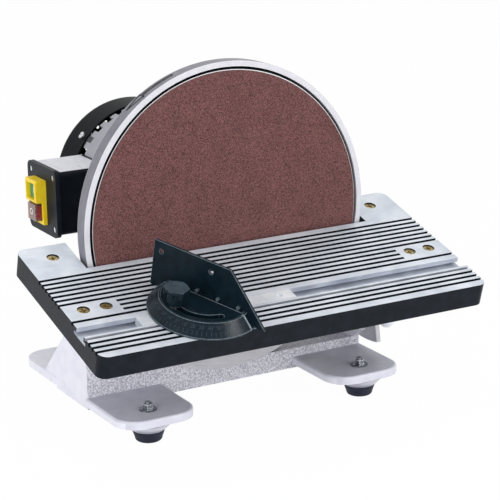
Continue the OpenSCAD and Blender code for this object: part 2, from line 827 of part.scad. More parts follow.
module lid_screws() color(zinc) at_box() lid_screw_spots() translate([lid_x + 0.6, 0, 0]) along_x() {
    difference() {
        cylinder(r = 3.2, h = 1.4);
        block([-2.2, -0.4, -over], [2.2, 0.4, 0.6]);
        block([-0.4, -2.2, -over], [0.4, 2.2, 0.6]);
    }
    cylinder(r = lid_screw_r, h = lid_screw_l);
}
module switch_housing() color("gold") at_switch() difference() {
    union() {
        block([-switch_out, -switch_half_w, split_z], [0, switch_half_w, switch_top]);
        block([-low_frame, -switch_half_w, switch_low], [0, switch_half_w, split_z + 1]);
        block([-over, -body_half_w, body_low], [body_in, body_half_w, body_top]);
    }
    block([-switch_out - over, -start_half_w - slip, start_z[0] - slip],
          [-switch_out + start_face + start_l + start_travel + 0.5, start_half_w + slip, start_z[1] + slip]);
    block([-low_frame - over, -stop_half_w - slip, stop_z[0] - slip],
          [stop_travel + 2, stop_half_w + slip, stop_z[1] + slip]);
}
module start_button() color("seagreen") at_switch() translate([-switch_out + start_face, 0, 0])
    block([0, -start_half_w, start_z[0]], [start_l, start_half_w, start_z[1]]);
module stop_button() color("firebrick") at_switch() {
    w = stop_half_w - stop_wall - fit;
    block([-stop_out + stop_wall + fit, -w, stop_z[0] + stop_wall + fit],
          [1, w, stop_z[1] - stop_wall - fit]);
}
module stop_button_cap() color("mistyrose", 0.5) at_switch() difference() {
    block([-stop_out, -stop_half_w, stop_z[0]], [1, stop_half_w, stop_z[1]]);
    block([-stop_out + stop_wall, -stop_half_w + stop_wall, stop_z[0] + stop_wall],
          [1 + over, stop_half_w - stop_wall, stop_z[1] - stop_wall]);
}
module gland_outline() {
    collar = box_wall + 6;
    polygon([
        [gland_bore_r, -3], [gland_flange_r, -3], [gland_flange_r, 0], [gland_thread_r - fit, 0],
        [gland_thread_r - fit, collar - 1], [gland_flange_r, collar - 1], [gland_flange_r, collar + 4],
        [gland_thread_r, collar + 7], [gland_bore_r, collar + 7]
    ]);
}
module cable_gland() color(black_paint) at_box() translate([gland_x, box_w / 2 - box_wall, 0]) along_y() {
    rotate_extrude() gland_outline();
    difference() {
        translate([0, 0, box_wall]) hex_rod(18, 6);
        translate([0, 0, -over]) cylinder(r = gland_thread_r - 2 * fit, h = 20);
    }
}
capacitor_r = 8;
module run_capacitor() color("white")
    at_box() translate([box_in_x - capacitor_r - 0.1, -25, 0]) along_y() cylinder(r = capacitor_r, h = 50);

// Table and its tilt brackets, drawn level and then tilted about the rear top edge
module on_table() { translate([0, hinge_y, hinge_z]) rotate([table_tilt, 0, 0]) children(); }
wing_in = guard_r + wing_gap;
table_half = table_w / 2;
bevel_top = 4;
rear_grooves = 11;
pad_grooves = [7, 8, 9];
front_grooves = 4;
pad_screw_y = -69.3;
pad_screw_x = [175.2, 199];
wing_screw_x = 187.5;
wing_screw_y = 29;
screw_places = [for (s = [-1, 1], p = [[pad_screw_x[0], pad_screw_y], [pad_screw_x[1], pad_screw_y],
                                       [wing_screw_x, wing_screw_y]]) [s * p.x, p.y]];
screw_r = 3;
screw_head_r = 6;
screw_sink = 1.2;
head_rim = 0.6;      // straight edge of the countersunk head
head_cone = 2.4;
rib = 8;
module cross_groove(y, half) {
    block([-half, y - groove_w / 2, -groove_deep], [half, y + groove_w / 2, over]);
}
module table_grooves() {
    for (i = [0:rear_grooves - 1]) {
        on_pad = len([for (p = pad_grooves) if (p == i) p]) > 0;
        cross_groove(-groove_first - i * groove_pitch, on_pad ? table_half - pad_l : table_half + over);
    }
    front_first = slot_y + slot_w / 2 + groove_pitch * 0.6;
    for (i = [0:front_grooves - 1]) {
        cross_groove(-front_first - i * groove_pitch, table_half + over);
    }
}
module mitre_slot() {
    block([-table_half - over, -slot_y - slot_w / 2, -slot_deep],
          [table_half + over, -slot_y + slot_w / 2, over]);
    block([-table_half - over, -slot_y - undercut_w / 2, -slot_deep],
          [table_half + over, -slot_y + undercut_w / 2, undercut_h - slot_deep]);
}
module table_pockets() {
    rows = [[-slot_y + undercut_w / 2 + rib, -(table_t - bevel_top) - rib - 1],
            [-table_front + rib, -slot_y - undercut_w / 2 - 5]];
    columns = 7;
    inner = wing_in - rib;
    step = 2 * inner / columns;
    for (row = rows, i = [0:columns - 1]) {
        x0 = -inner + i * step + rib / 2;
        block([x0, row[0], -table_t - over], [x0 + step - rib, row[1], -table_skin]);
    }
    for (s = [-1, 1]) {
        to_side(s) block([wing_in + rib / 2, rows[1][0], -table_t - over],
                         [table_half - rib, rows[1][1], -table_skin]);
    }
}
module table_screw_hole() {
    translate([0, 0, -head_rim]) cylinder(r = screw_head_r + slip, h = head_rim + screw_sink + over);
    translate([0, 0, -head_rim - head_cone])
        cylinder(r1 = screw_r + slip, r2 = screw_head_r + slip, h = head_cone);
    translate([0, 0, -table_t - over]) cylinder(r = screw_r + slip, h = table_t + over);
}
module table_top() color(bare_iron) on_table() difference() {
    rounded_plate([-table_half, -table_front, -table_t], [table_half, wing_back, 0], table_corner);
    block([-wing_in, 0, -table_t - over], [wing_in, wing_back + over, over]);
    bevel_end = table_t - bevel_top + over;
    side_plate(-wing_in, 2 * wing_in)
        polygon([[over, over - bevel_top], [over, -table_t - over], [-bevel_end, -table_t - over]]);
    table_grooves();
    mitre_slot();
    table_pockets();
    for (p = screw_places) {
        translate([p.x, p.y, -screw_sink]) table_screw_hole();
    }
}
module table_screws() color("goldenrod") on_table() for (p = screw_places) {
    translate([p.x, p.y, -screw_sink]) difference() {
        union() {
            translate([0, 0, -head_rim]) cylinder(r = screw_head_r, h = head_rim);
            translate([0, 0, -head_rim - head_cone]) cylinder(r1 = screw_r, r2 = screw_head_r, h = head_cone);
            translate([0, 0, screw_sink - table_t - flange_t + 0.5])
                cylinder(r = screw_r, h = table_t + flange_t - screw_sink - head_cone);
        }
        block([-3.4, -0.7, -1.6], [3.4, 0.7, over]);
        block([-0.7, -3.4, -1.6], [0.7, 3.4, over]);
    }
}
bracket_x = upright_end + slip;
bracket_r = 87;
bracket_angles = [-40, 50];
quadrant_angles = [-26, 33];
flange_in = min(bracket_x, pad_screw_x[0] - 11.9);
flange_end = 211;
flange_y = [-82, 42];
function ray(r, a) = [r * sin(a), -r * cos(a)];
module sector(r, a0, a1) {
    intersection() {
        circle(r = r, $fn = 96);
        polygon([[0, 0], ray(2 * r, a0), ray(2 * r, (a0 + a1) / 2), ray(2 * r, a1)]);
    }
}
module arc_slot(r, half, a0, a1) {
    difference() {
        sector(r + half, a0, a1);
        circle(r = r - half, $fn = 96);
    }
    for (a = [a0, a1]) {
        translate(ray(r, a)) circle(r = half - 0.1);
    }
}
module guide_slot() {
    arc_slot(guide_r, guide_bolt_r + slip, guide_phi[0] - tilt_max - 0.5, guide_phi[1] + 0.5);
}
// What the brackets' plates leave free: all that lies over the bracket foot
module above_foot() {
    translate([-2 * quadrant_r, -table_t - 1]) square([4 * quadrant_r, 2 * quadrant_r]);
}
module bracket_foot() {
    rounded_plate([flange_in, flange_y[0], -table_t - flange_t], [flange_end, flange_y[1], -table_t], 6);
}
module bracket_screw_holes() {
    for (p = screw_places) {
        if (p.x > 0) {
            translate([p.x, p.y, -table_t - flange_t - over])
                cylinder(r = screw_r + fit, h = flange_t + 2 * over);
        }
    }
}
module left_tilt_bracket() color(grey_paint) on_table() mirror([1, 0, 0]) difference() {
    union() {
        bracket_foot();
        side_plate(bracket_x, bracket_t) difference() {
            sector(bracket_r, bracket_angles[0], bracket_angles[1]);
            above_foot();
            guide_slot();
        }
    }
    bracket_screw_holes();
}
module right_tilt_bracket() color(grey_paint) on_table() difference() {
    union() {
        bracket_foot();
        side_plate(bracket_x, bracket_t) difference() {
            union() {
                sector(bracket_r, bracket_angles[0], bracket_angles[1]);
                sector(quadrant_r, quadrant_angles[0], quadrant_angles[1]);
            }
            above_foot();
            guide_slot();
            arc_slot(lock_r, lock_stud_r + slip, lock_phi - tilt_max - 0.5, lock_phi + 0.5);
        }
    }
    bracket_screw_holes();
}
bracket_out = bracket_x + bracket_t;
guide_nut_h = 5;
guide_flats = 13;      // across the flats of a guide bolt or nut
guide_head_h = 5;
module at_guides() {
    for (side = [-1, 1], phi = guide_phi) {
        p = around(guide_r, phi);
        translate([0, p.x, p.y]) rotate([0, 0, side < 0 ? 180 : 0]) children();
    }
}
module guide_bolts() color(zinc) at_guides() translate([upright_x, 0, 0]) along_x() {
    translate([0, 0, -guide_head_h]) hex_rod(guide_flats, guide_head_h);
    cylinder(r = guide_bolt_r, h = upright_t + bracket_t + 2 * slip + guide_nut_h + 3);
}
module guide_nuts() color(zinc) at_guides() translate([bracket_out + slip, 0, 0]) along_x() difference() {
    union() {
        cylinder(r = 8, h = 1.5);
        translate([0, 0, 1.5]) hex_rod(guide_flats, guide_nut_h);
    }
    translate([0, 0, -over]) cylinder(r = guide_bolt_r + fit, h = guide_nut_h + 4);
}
lever_hub_l = 21.4;
lever_hub = [bracket_out + slip, bracket_out + slip + lever_hub_l];
lever_x = lever_hub[1] - 7.5;   // the lever grows out of the hub's outer end
lever_droop = 13;
grip_r = 8;
module at_lock() {
    p = around(lock_r, lock_phi);
    translate([0, p.x, p.y]) children();
}
module lock_stud() color(zinc) at_lock() translate([upright_x, 0, 0]) along_x() {
    translate([0, 0, -6]) hex_rod(16, 6);
    cylinder(r = lock_stud_r, h = lever_hub[1] - upright_x + 1);
}
module lock_lever() color("silver") at_lock() difference() {
    union() {
        translate([lever_hub[0], 0, 0]) along_x() cylinder(r = 11, h = lever_hub[1] - lever_hub[0]);
        translate([lever_x, 0, 0]) rotate([90 + lever_droop, 0, 0]) {
            cylinder(r = 5.5, h = lever_l);
            translate([0, 0, lever_l / 2]) cylinder(r1 = 5.5, r2 = grip_r, h = lever_l / 4);
            translate([0, 0, lever_l * 3 / 4]) cylinder(r = grip_r, h = lever_l / 4);
            translate([0, 0, lever_l]) sphere(r = grip_r);
        }
    }
    translate([lever_hub[0] - over, 0, 0]) along_x()
        cylinder(r = lock_stud_r + fit, h = lever_hub[1] - lever_hub[0] + 2 * over);
}

// Mitre gauge
bar_half = slot_w / 2 - bar_play;
bar_low = slip - slot_deep;
pivot_x = bar_x + pivot_in;
pivot_r = 4;
pivot_l = 8;          // how far the pivot stands in the head, from below
stud_r = 3;
recess = 1;
recess_r = head_r - head_bevel - 3;
guide_washer_r = undercut_w / 2 - 0.7;
guide_washer_t = undercut_h - 2 * slip;
guide_washer_x = bar_x + bar_l - guide_washer_r - 4;
module at_pivot() { on_table() translate([pivot_x, -slot_y, 0]) children(); }
module on_head() { at_pivot() translate([0, 0, slip]) rotate([0, 0, head_turn]) children(); }
module mitre_bar() color(bare_iron) on_table() difference() {
    block([bar_x, -slot_y - bar_half, bar_low], [bar_x + bar_l, -slot_y + bar_half, 0]);
    block([guide_washer_x - guide_washer_r - slip, -slot_y - slot_w, bar_low - over],
          [guide_washer_x + guide_washer_r + slip, -slot_y + slot_w, bar_low + guide_washer_t + fit]);
    for (x = [pivot_x, pivot_x - arc_r, guide_washer_x]) {
        translate([x, -slot_y, bar_low - over]) cylinder(r = stud_r + fit, h = slot_deep + 2 * over);
    }
}
module guide_washer() color(zinc) on_table() translate([guide_washer_x, -slot_y, bar_low]) {
    cylinder(r = guide_washer_r, h = guide_washer_t);
    cylinder(r = stud_r, h = 6);
}
module protractor_outline() {
    polygon([[0, 0], [head_r, 0], [head_r, 1.5], [head_r - head_bevel, head_h], [recess_r + 1, head_h],
             [recess_r, head_h - recess], [0, head_h - recess]]);
}
// A narrow ridge down the rim at each end of the scale
ridge_x = 1;
ridge_w = 2;
ridge_h = 0.8;
module end_ridges() {
    rim = head_r - head_bevel;
    intersection() {
        rotate_extrude($fn = 96) polygon([
            [rim - 1.5, head_h - 1], [head_r - 3, 1], [head_r, 1], [head_r, 1.5 + ridge_h],
            [rim, head_h + ridge_h], [rim - 1.5, head_h + ridge_h]
        ]);
        block([-ridge_x - ridge_w, -head_r - over, 0], [-ridge_x, head_r + over, head_h + 2 * ridge_h]);
    }
}
module mitre_head() color(black_paint) on_head() difference() {
    union() {
        end_ridges();
        intersection() {
            rotate_extrude($fn = 96) protractor_outline();
            block([-head_r - over, -head_r - over, 0], [fence_off, head_r + over, head_h]);
        }
        block([fence_off - 5, -sqrt(pow(recess_r, 2) - pow(fence_off, 2)), 0],
              [fence_off, sqrt(pow(recess_r, 2) - pow(fence_off, 2)), head_h]);
    }
    translate([0, 0, -over]) cylinder(r = pivot_r + fit, h = pivot_l + slip + over);
    translate([0, 0, -over]) linear_extrude(head_h + 2 * over) rotate([0, 0, -90])
        arc_slot(arc_r, stud_r + slip, -head_max - 0.5, head_max + 0.5);
    for (y = fence_screw_y) {
        translate([fence_off - 10, y, 6.5]) along_x() cylinder(r = 2 + fit, h = 10 + over);
    }
}
fence_screw_y = [-32, 32];
hole_y = [57, 0];
hole_z = 39.5;
hole_r = 2.6;
tab_y = [12, -12, -35];
tab_w = 3;
tab_l = 3.5;
tab_h = 3;
module mitre_fence() color(black_paint) on_head() difference() {
    union() {
        side_plate(fence_off, fence_t) polygon([
            [-fence_l / 2, 0], [fence_l / 2, 0],
            [fence_l / 2, fence_h], [fence_l / 2 - fence_top_l, fence_h]
        ]);
        for (y = tab_y) {
            block([fence_off - tab_l, y - tab_w / 2, head_h + fit],
                  [fence_off + 1, y + tab_w / 2, head_h + tab_h]);
        }
    }
    for (y = hole_y) {
        translate([fence_off - over, y, hole_z]) along_x() cylinder(r = hole_r, h = fence_t + 2 * over);
    }
    for (y = fence_screw_y) {
        translate([fence_off - over, y, 6.5]) along_x() cylinder(r = 2 + fit, h = fence_t + 2 * over);
        translate([fence_off + fence_t - 2, y, 6.5]) along_x() cylinder(r1 = 2.15, r2 = 4.25, h = 2.01);
    }
}
module fence_screws() color(zinc) on_head() for (y = fence_screw_y) {
    translate([fence_off + fence_t - 2, y, 6.5]) along_x() {
        cylinder(r1 = 2, r2 = 4, h = 1.9);
        translate([0, 0, -9]) cylinder(r = 2, h = 10);
    }
}
module head_pivot_screw() color(zinc) at_pivot() {
    cylinder(r = pivot_r, h = slip + pivot_l);
    translate([0, 0, bar_low + 1]) cylinder(r = stud_r, h = -bar_low);
}
knob_washer_r = 7;
knob_z = slip + head_h + slip;
knob_lobes = 6;
knob_plate_t = 2.6;   // round plate over the lobes
lobe_r = 3.2;
lobe_l = 9;
module at_knob() { on_table() translate([pivot_x - arc_r, -slot_y, 0]) children(); }
module clamp_stud() color(zinc) at_knob() {
    translate([0, 0, bar_low + 1]) cylinder(r = stud_r, h = knob_z + knob_h - 4 - bar_low);
    translate([0, 0, head_h - recess + 2 * slip]) cylinder(r = knob_washer_r, h = recess - fit);
}
module clamp_knob() color(black_paint) at_knob() translate([0, 0, knob_z]) difference() {
    union() {
        cylinder(r = knob_r - 5, h = knob_h - 1);
        translate([0, 0, knob_h - knob_plate_t]) cylinder(r = knob_r - 0.7, h = knob_plate_t);
        for (i = [0:knob_lobes - 1]) {
            rotate([0, 0, 30 + i * 360 / knob_lobes]) translate([knob_r - lobe_r, 0, knob_h - lobe_l])
                cylinder(r = lobe_r, h = lobe_l - 0.8);
        }
    }
    translate([0, 0, -over]) cylinder(r = stud_r + fit, h = knob_h - 2);
}

base_casting();
rubber_feet();
foot_bolts();
foot_washers();
foot_nuts();
disc_guard();
guard_bolts();
lower_disc_cover();
cover_screws();
dust_spout();
disc_plate();
abrasive_disc();
shaft_key();
hub_set_screws();
motor_shaft();
rotor();
stator_core();
stator_windings();
front_bearing();
rear_bearing();
front_end_bell();
motor_frame();
rear_end_bell();
bell_screws();
cooling_fan();
fan_cover();
fan_cover_screws();
switch_box();
switch_box_lid();
lid_screws();
cable_gland();
run_capacitor();
switch_housing();
start_button();
stop_button();
stop_button_cap();
table_top();
left_tilt_bracket();
right_tilt_bracket();
table_screws();
guide_bolts();
guide_nuts();
lock_stud();
lock_lever();
mitre_bar();
guide_washer();
mitre_head();
mitre_fence();
fence_screws();
head_pivot_screw();
clamp_knob();
clamp_stud();
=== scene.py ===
"""Looks of the benchtop disc sander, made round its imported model."""
import json
import math

import bmesh
import bpy
from mathutils import Matrix, Vector


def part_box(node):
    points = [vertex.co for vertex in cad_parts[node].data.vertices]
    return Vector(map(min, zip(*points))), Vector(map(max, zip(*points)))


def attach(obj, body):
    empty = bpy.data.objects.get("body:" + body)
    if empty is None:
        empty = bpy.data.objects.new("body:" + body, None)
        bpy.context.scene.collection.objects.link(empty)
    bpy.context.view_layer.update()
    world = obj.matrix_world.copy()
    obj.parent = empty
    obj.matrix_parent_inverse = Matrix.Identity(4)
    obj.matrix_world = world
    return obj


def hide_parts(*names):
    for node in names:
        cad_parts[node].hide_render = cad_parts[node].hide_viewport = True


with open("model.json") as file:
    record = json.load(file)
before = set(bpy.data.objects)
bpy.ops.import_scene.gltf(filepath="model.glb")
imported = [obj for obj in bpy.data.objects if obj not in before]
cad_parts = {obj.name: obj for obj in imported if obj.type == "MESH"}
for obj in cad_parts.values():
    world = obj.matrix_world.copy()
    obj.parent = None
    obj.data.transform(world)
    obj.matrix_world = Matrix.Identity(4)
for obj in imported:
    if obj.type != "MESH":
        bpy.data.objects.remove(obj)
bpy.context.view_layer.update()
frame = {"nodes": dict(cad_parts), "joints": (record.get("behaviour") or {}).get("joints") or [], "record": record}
NODES = frame["nodes"]
JOINTS = {joint["name"]: joint for joint in frame["joints"]}
BODY_OF = {node: body for body, nodes in frame["record"]["behaviour"]["bodies"].items() for node in nodes}
MM = 0.001

# Places and sizes that the drawn details share with the model, in metres
AXIS_HEIGHT = JOINTS["disc_spin"]["pos_m"][2]
GUARD_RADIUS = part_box("disc_guard")[1].x
GUARD_BORE = GUARD_RADIUS - 6 * MM
EAR_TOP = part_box("foot_washers")[0].z
PIVOT = Vector(JOINTS["gauge_turn"]["pos_m"])
TABLE_UP = Vector(JOINTS["gauge_turn"]["axis"])
TABLE_TILT = math.atan2(-TABLE_UP.y, TABLE_UP.z)
TABLE_SLOPE = Vector((0, math.cos(TABLE_TILT), math.sin(TABLE_TILT)))
HEAD_TURN = math.radians(30)
HEAD_LIFT = 0.3 * MM
ON_HEAD = (Matrix.Translation(PIVOT + HEAD_LIFT * TABLE_UP) @ Matrix.Rotation(TABLE_TILT, 4, "X")
           @ Matrix.Rotation(HEAD_TURN, 4, "Z"))


# Colours and nodes
def linear(hex_colour):
    """The linear colour of an sRGB hex value such as "#9c9ba5"."""
    parts = [int(hex_colour[i:i + 2], 16) / 255 for i in (1, 3, 5)]
    return [c / 12.92 if c <= 0.04045 else ((c + 0.055) / 1.055) ** 2.4 for c in parts] + [1.0]


def add(tree, kind, inputs=None, ramp=None, **settings):
    """Adds a node with its settings. An input's value is a constant or another node's output."""
    node = tree.nodes.new(kind)
    for name, value in settings.items():
        setattr(node, name, value)
    for name, value in (inputs or {}).items():
        if isinstance(value, bpy.types.NodeSocket):
            tree.links.new(value, node.inputs[name])
        else:
            node.inputs[name].default_value = value
    if ramp:
        for stop, (position, colour) in zip(node.color_ramp.elements, ramp):
            stop.position = position
            stop.color = linear(colour)
    return node


def finish_named(name, colour, roughness, metallic=0.0, gloss=0.5, ior=1.5):
    """A material with its shader, the tree that holds it and the piece's own coordinates."""
    material = bpy.data.materials.new(name)
    material.use_nodes = True
    tree = material.node_tree
    shader = tree.nodes["Principled BSDF"]
    shader.inputs["Base Color"].default_value = linear(colour)
    shader.inputs["Roughness"].default_value = roughness
    shader.inputs["Metallic"].default_value = metallic
    if not metallic:
        shader.inputs["IOR"].default_value = ior
        shader.inputs["Specular IOR Level"].default_value = gloss
    place = add(tree, "ShaderNodeTexCoord").outputs["Object"]
    return material, tree, shader, place


def grain(tree, place, size_mm, detail=3.0, stretch=(1, 1, 1)):
    """A pattern of lumps size_mm across, drawn out along an axis where stretch is under 1."""
    scaled = add(tree, "ShaderNodeMapping", {"Vector": place, "Scale": stretch})
    return add(tree, "ShaderNodeTexNoise", {
        "Vector": scaled.outputs["Vector"],
        "Scale": 1 / (size_mm * MM),
        "Detail": detail,
    }).outputs["Fac"]


def textured(tree, shader, pattern, colours=None, between=(0.3, 0.7), dullness=None, depth_mm=None,
             strength=1.0):
    """Lets a pattern set the colour, the dullness and the relief of a finish, each where it is given."""
    if colours:
        tint = add(tree, "ShaderNodeValToRGB", {"Fac": pattern}, zip(between, colours))
        tree.links.new(tint.outputs["Color"], shader.inputs["Base Color"])
    if dullness:
        least, most = dullness
        ridge_highlight = add(tree, "ShaderNodeMapRange", {"Value": pattern, "To Min": least, "To Max": most})
        tree.links.new(ridge_highlight.outputs["Result"], shader.inputs["Roughness"])
    if depth_mm:
        depth = depth_mm * MM
        relief = add(tree, "ShaderNodeBump", {"Height": pattern, "Distance": depth, "Strength": strength})
        tree.links.new(relief.outputs["Normal"], shader.inputs["Normal"])


# The length of one wave of a wave texture at a scale of 1
WAVE_LENGTH = 2 * math.pi / 20


# Finishes
def hammered_enamel(name, dark, light):
    """Grey hammertone enamel on sand-cast iron: a frosted lavender skin full of fine pale flecks."""
    material, tree, shader, place = finish_named(name, light, 0.42, gloss=0.4)
    flecks = grain(tree, place, 1.5)
    dimples = add(tree, "ShaderNodeTexVoronoi", {"Vector": place, "Scale": 1 / (2.4 * MM)},
                  feature="SMOOTH_F1")
    skin = add(tree, "ShaderNodeMath", {0: dimples.outputs["Distance"], 1: 0.5, 2: flecks},
               operation="MULTIPLY_ADD").outputs[0]
    textured(tree, shader, flecks, (dark, light), (0.34, 0.64), dullness=(0.3, 0.6))
    textured(tree, shader, skin, depth_mm=0.25, strength=0.6)
    return material


def smooth_enamel(name, dark, light, roughness=0.34):
    """Sprayed grey enamel on a turned or rubbed-down casting: even, with a faint orange peel."""
    material, tree, shader, place = finish_named(name, light, roughness, gloss=0.4)
    peel = grain(tree, place, 1.6, detail=2.0)
    textured(tree, shader, grain(tree, place, 14), (dark, light))
    textured(tree, shader, peel, dullness=(roughness - 0.06, roughness + 0.08), depth_mm=0.06)
    return material


def ground_iron(name, dark, light, roughness):
    """Surface-ground cast iron: pale and silky, with fine grinding lines along the table."""
    material, tree, shader, place = finish_named(name, light, roughness, metallic=0.45)
    lines = grain(tree, place, 0.5, detail=2.0, stretch=(0.02, 1, 1))
    clouds = grain(tree, place, 26)
    both = add(tree, "ShaderNodeMath", {0: lines, 1: 0.4, 2: clouds}, operation="MULTIPLY_ADD").outputs[0]
    textured(tree, shader, both, (dark, light), (0.5, 0.9))
    textured(tree, shader, lines, dullness=(roughness - 0.08, roughness + 0.1), depth_mm=0.02)
    return material


def black_enamel(name, dark, light, roughness=0.36, gloss=0.12):
    """Black stoving enamel on cast iron: half gloss over a slightly uneven cast skin."""
    material, tree, shader, place = finish_named(name, dark, roughness, gloss=gloss)
    skin = grain(tree, place, 2.2)
    textured(tree, shader, grain(tree, place, 9), (dark, light))
    textured(tree, shader, skin, dullness=(roughness - 0.06, roughness + 0.12), depth_mm=0.08)
    return material


def worn_edge(name, dark, light):
    """Places on the gauge painted a dull patchy grey: edges where the black is rubbed thin, with a painted
    highlight on them, and tabs and a ridge with a painted highlight.
    """
    material, tree, shader, place = finish_named(name, light, 0.4, gloss=0.4)
    textured(tree, shader, grain(tree, place, 2.5), (dark, light))
    return material


def turned_aluminium():
    """Lathe-turned aluminium: rings round the disc's axis that catch the light.

    The tool's marks, well under 1 mm apart, are drawn 3.77 mm apart, so that they show.
    """
    material, tree, shader, place = finish_named("turned_aluminium", "#d0d2d5", 0.3, metallic=1.0)
    centred = add(tree, "ShaderNodeMapping", {"Vector": place, "Location": (0, 0, -AXIS_HEIGHT)})
    rings = add(tree, "ShaderNodeTexWave", {
        "Vector": centred.outputs["Vector"],
        "Scale": WAVE_LENGTH / (3.77 * MM),
        "Distortion": 1.5,
        "Detail": 2.0,
    }, wave_type="RINGS", rings_direction="Y").outputs["Fac"]
    textured(tree, shader, rings, ("#c2c4c8", "#dddfe2"), dullness=(0.24, 0.4), depth_mm=0.02)
    return material


def abrasive_cloth():
    """Brown aluminium-oxide grit on cloth. The 0.25 mm grit is drawn twice as coarse, so that it shows."""
    material, tree, shader, place = finish_named("aluminium_oxide_abrasive", "#6e4b48", 0.85, gloss=0.3)
    grit = add(tree, "ShaderNodeTexVoronoi", {"Vector": place, "Scale": 1 / (0.5 * MM)}, feature="F1")
    grain_by_grain = add(tree, "ShaderNodeSeparateColor", {"Color": grit.outputs["Color"]}).outputs["Red"]
    brown = add(tree, "ShaderNodeValToRGB", {"Fac": grain_by_grain}, [(0.05, "#261416"), (0.95, "#8a5d5b")])
    clouds = grain(tree, place, 22)
    dust = add(tree, "ShaderNodeValToRGB", {"Fac": clouds}, [(0.3, "#ece8e6"), (0.7, "#ffffff")])
    dusted = add(tree, "ShaderNodeMix", {
        "Factor": 1.0,
        "A": brown.outputs["Color"],
        "B": dust.outputs["Color"],
    }, data_type="RGBA", blend_type="MULTIPLY")
    tree.links.new(dusted.outputs["Result"], shader.inputs["Base Color"])
    textured(tree, shader, grain_by_grain, depth_mm=0.3, strength=0.6)
    return material


def moulded_rubber():
    """Moulded blue-black rubber: dull, with a faint bloom."""
    material, tree, shader, place = finish_named("moulded_rubber", "#1a1d2a", 0.55, gloss=0.2)
    textured(tree, shader, grain(tree, place, 6), ("#151824", "#242838"))
    textured(tree, shader, grain(tree, place, 0.8), depth_mm=0.05)
    return material


def plated_metal(name, dark, light, roughness):
    """Plated, anodised or drawn metal: a thin even film, softly clouded, with fine scratches."""
    material, tree, shader, place = finish_named(name, light, roughness, metallic=1.0)
    scratches = grain(tree, place, 0.5, detail=2.0, stretch=(1, 1, 0.2))
    textured(tree, shader, grain(tree, place, 2), (dark, light))
    textured(tree, shader, scratches, dullness=(roughness - 0.08, roughness + 0.12), depth_mm=0.015)
    return material


def moulded_plastic(name, dark, light, roughness=0.42, gloss=0.3):
    """Injection-moulded plastic: even colour, with the fine spark-eroded texture of its mould."""
    material, tree, shader, place = finish_named(name, light, roughness, gloss=gloss, ior=1.49)
    texture = grain(tree, place, 0.5, detail=2.0)
    textured(tree, shader, grain(tree, place, 12), (dark, light))
    textured(tree, shader, texture, dullness=(roughness - 0.06, roughness + 0.06), depth_mm=0.03)
    return material


def powder_coat(name, dark, light):
    """Powder coat baked on pressed sheet steel: dull black, with a fine orange peel."""
    material, tree, shader, place = finish_named(name, light, 0.4, gloss=0.04, ior=1.49)
    peel = grain(tree, place, 1.1, detail=2.0)
    textured(tree, shader, grain(tree, place, 12), (dark, light))
    textured(tree, shader, peel, dullness=(0.34, 0.46), depth_mm=0.03)
    return material


def clear_plastic(name, colour, clearness, gloss):
    """Clear polycarbonate: the cap over the stop button, a little hazed where fingers press it."""
    material, tree, shader, place = finish_named(name, colour, 0.12, gloss=gloss, ior=1.3)
    shader.inputs["Transmission Weight"].default_value = clearness
    textured(tree, shader, grain(tree, place, 1.5), dullness=(0.08, 0.2))
    return material


def stacked_laminations():
    """Stamped core plates 0.5 mm thick, drawn as bands 6.28 mm apart across the motor's axis, to show."""
    material, tree, shader, place = finish_named("core_laminations", "#7d8086", 0.45, metallic=1.0)
    plates = add(tree, "ShaderNodeTexWave", {"Vector": place, "Scale": WAVE_LENGTH / (6.28 * MM)},
                 wave_type="BANDS", bands_direction="Y").outputs["Fac"]
    textured(tree, shader, plates, ("#55585e", "#9a9da3"), depth_mm=0.05)
    return material


def enamelled_copper():
    """Varnished copper winding wire: reddish brown strands that shine."""
    material, tree, shader, place = finish_named("varnished_copper_wire", "#a8622a", 0.35, metallic=1.0)
    strands = grain(tree, place, 0.8, detail=2.0, stretch=(1, 0.15, 1))
    textured(tree, shader, strands, ("#7c421b", "#cf8446"), depth_mm=0.2)
    return material


def printed(name, dark, light):
    """Screen-print ink, or the thin paint left on cast figures: flat, a little uneven."""
    material, tree, shader, place = finish_named(name, light, 0.5, gloss=0.05)
    textured(tree, shader, grain(tree, place, 0.6), (dark, light))
    return material


def satin_foil():
    """Satin aluminium foil of a bare data plate: pale, with fine lines from its rolling."""
    material, tree, shader, place = finish_named("satin_aluminium_foil", "#dcdde4", 0.45, metallic=0.3)
    rolled = grain(tree, place, 0.7, detail=2.0, stretch=(1, 0.05, 1))
    textured(tree, shader, rolled, ("#d0d2db", "#e9eaef"), depth_mm=0.015)
    return material


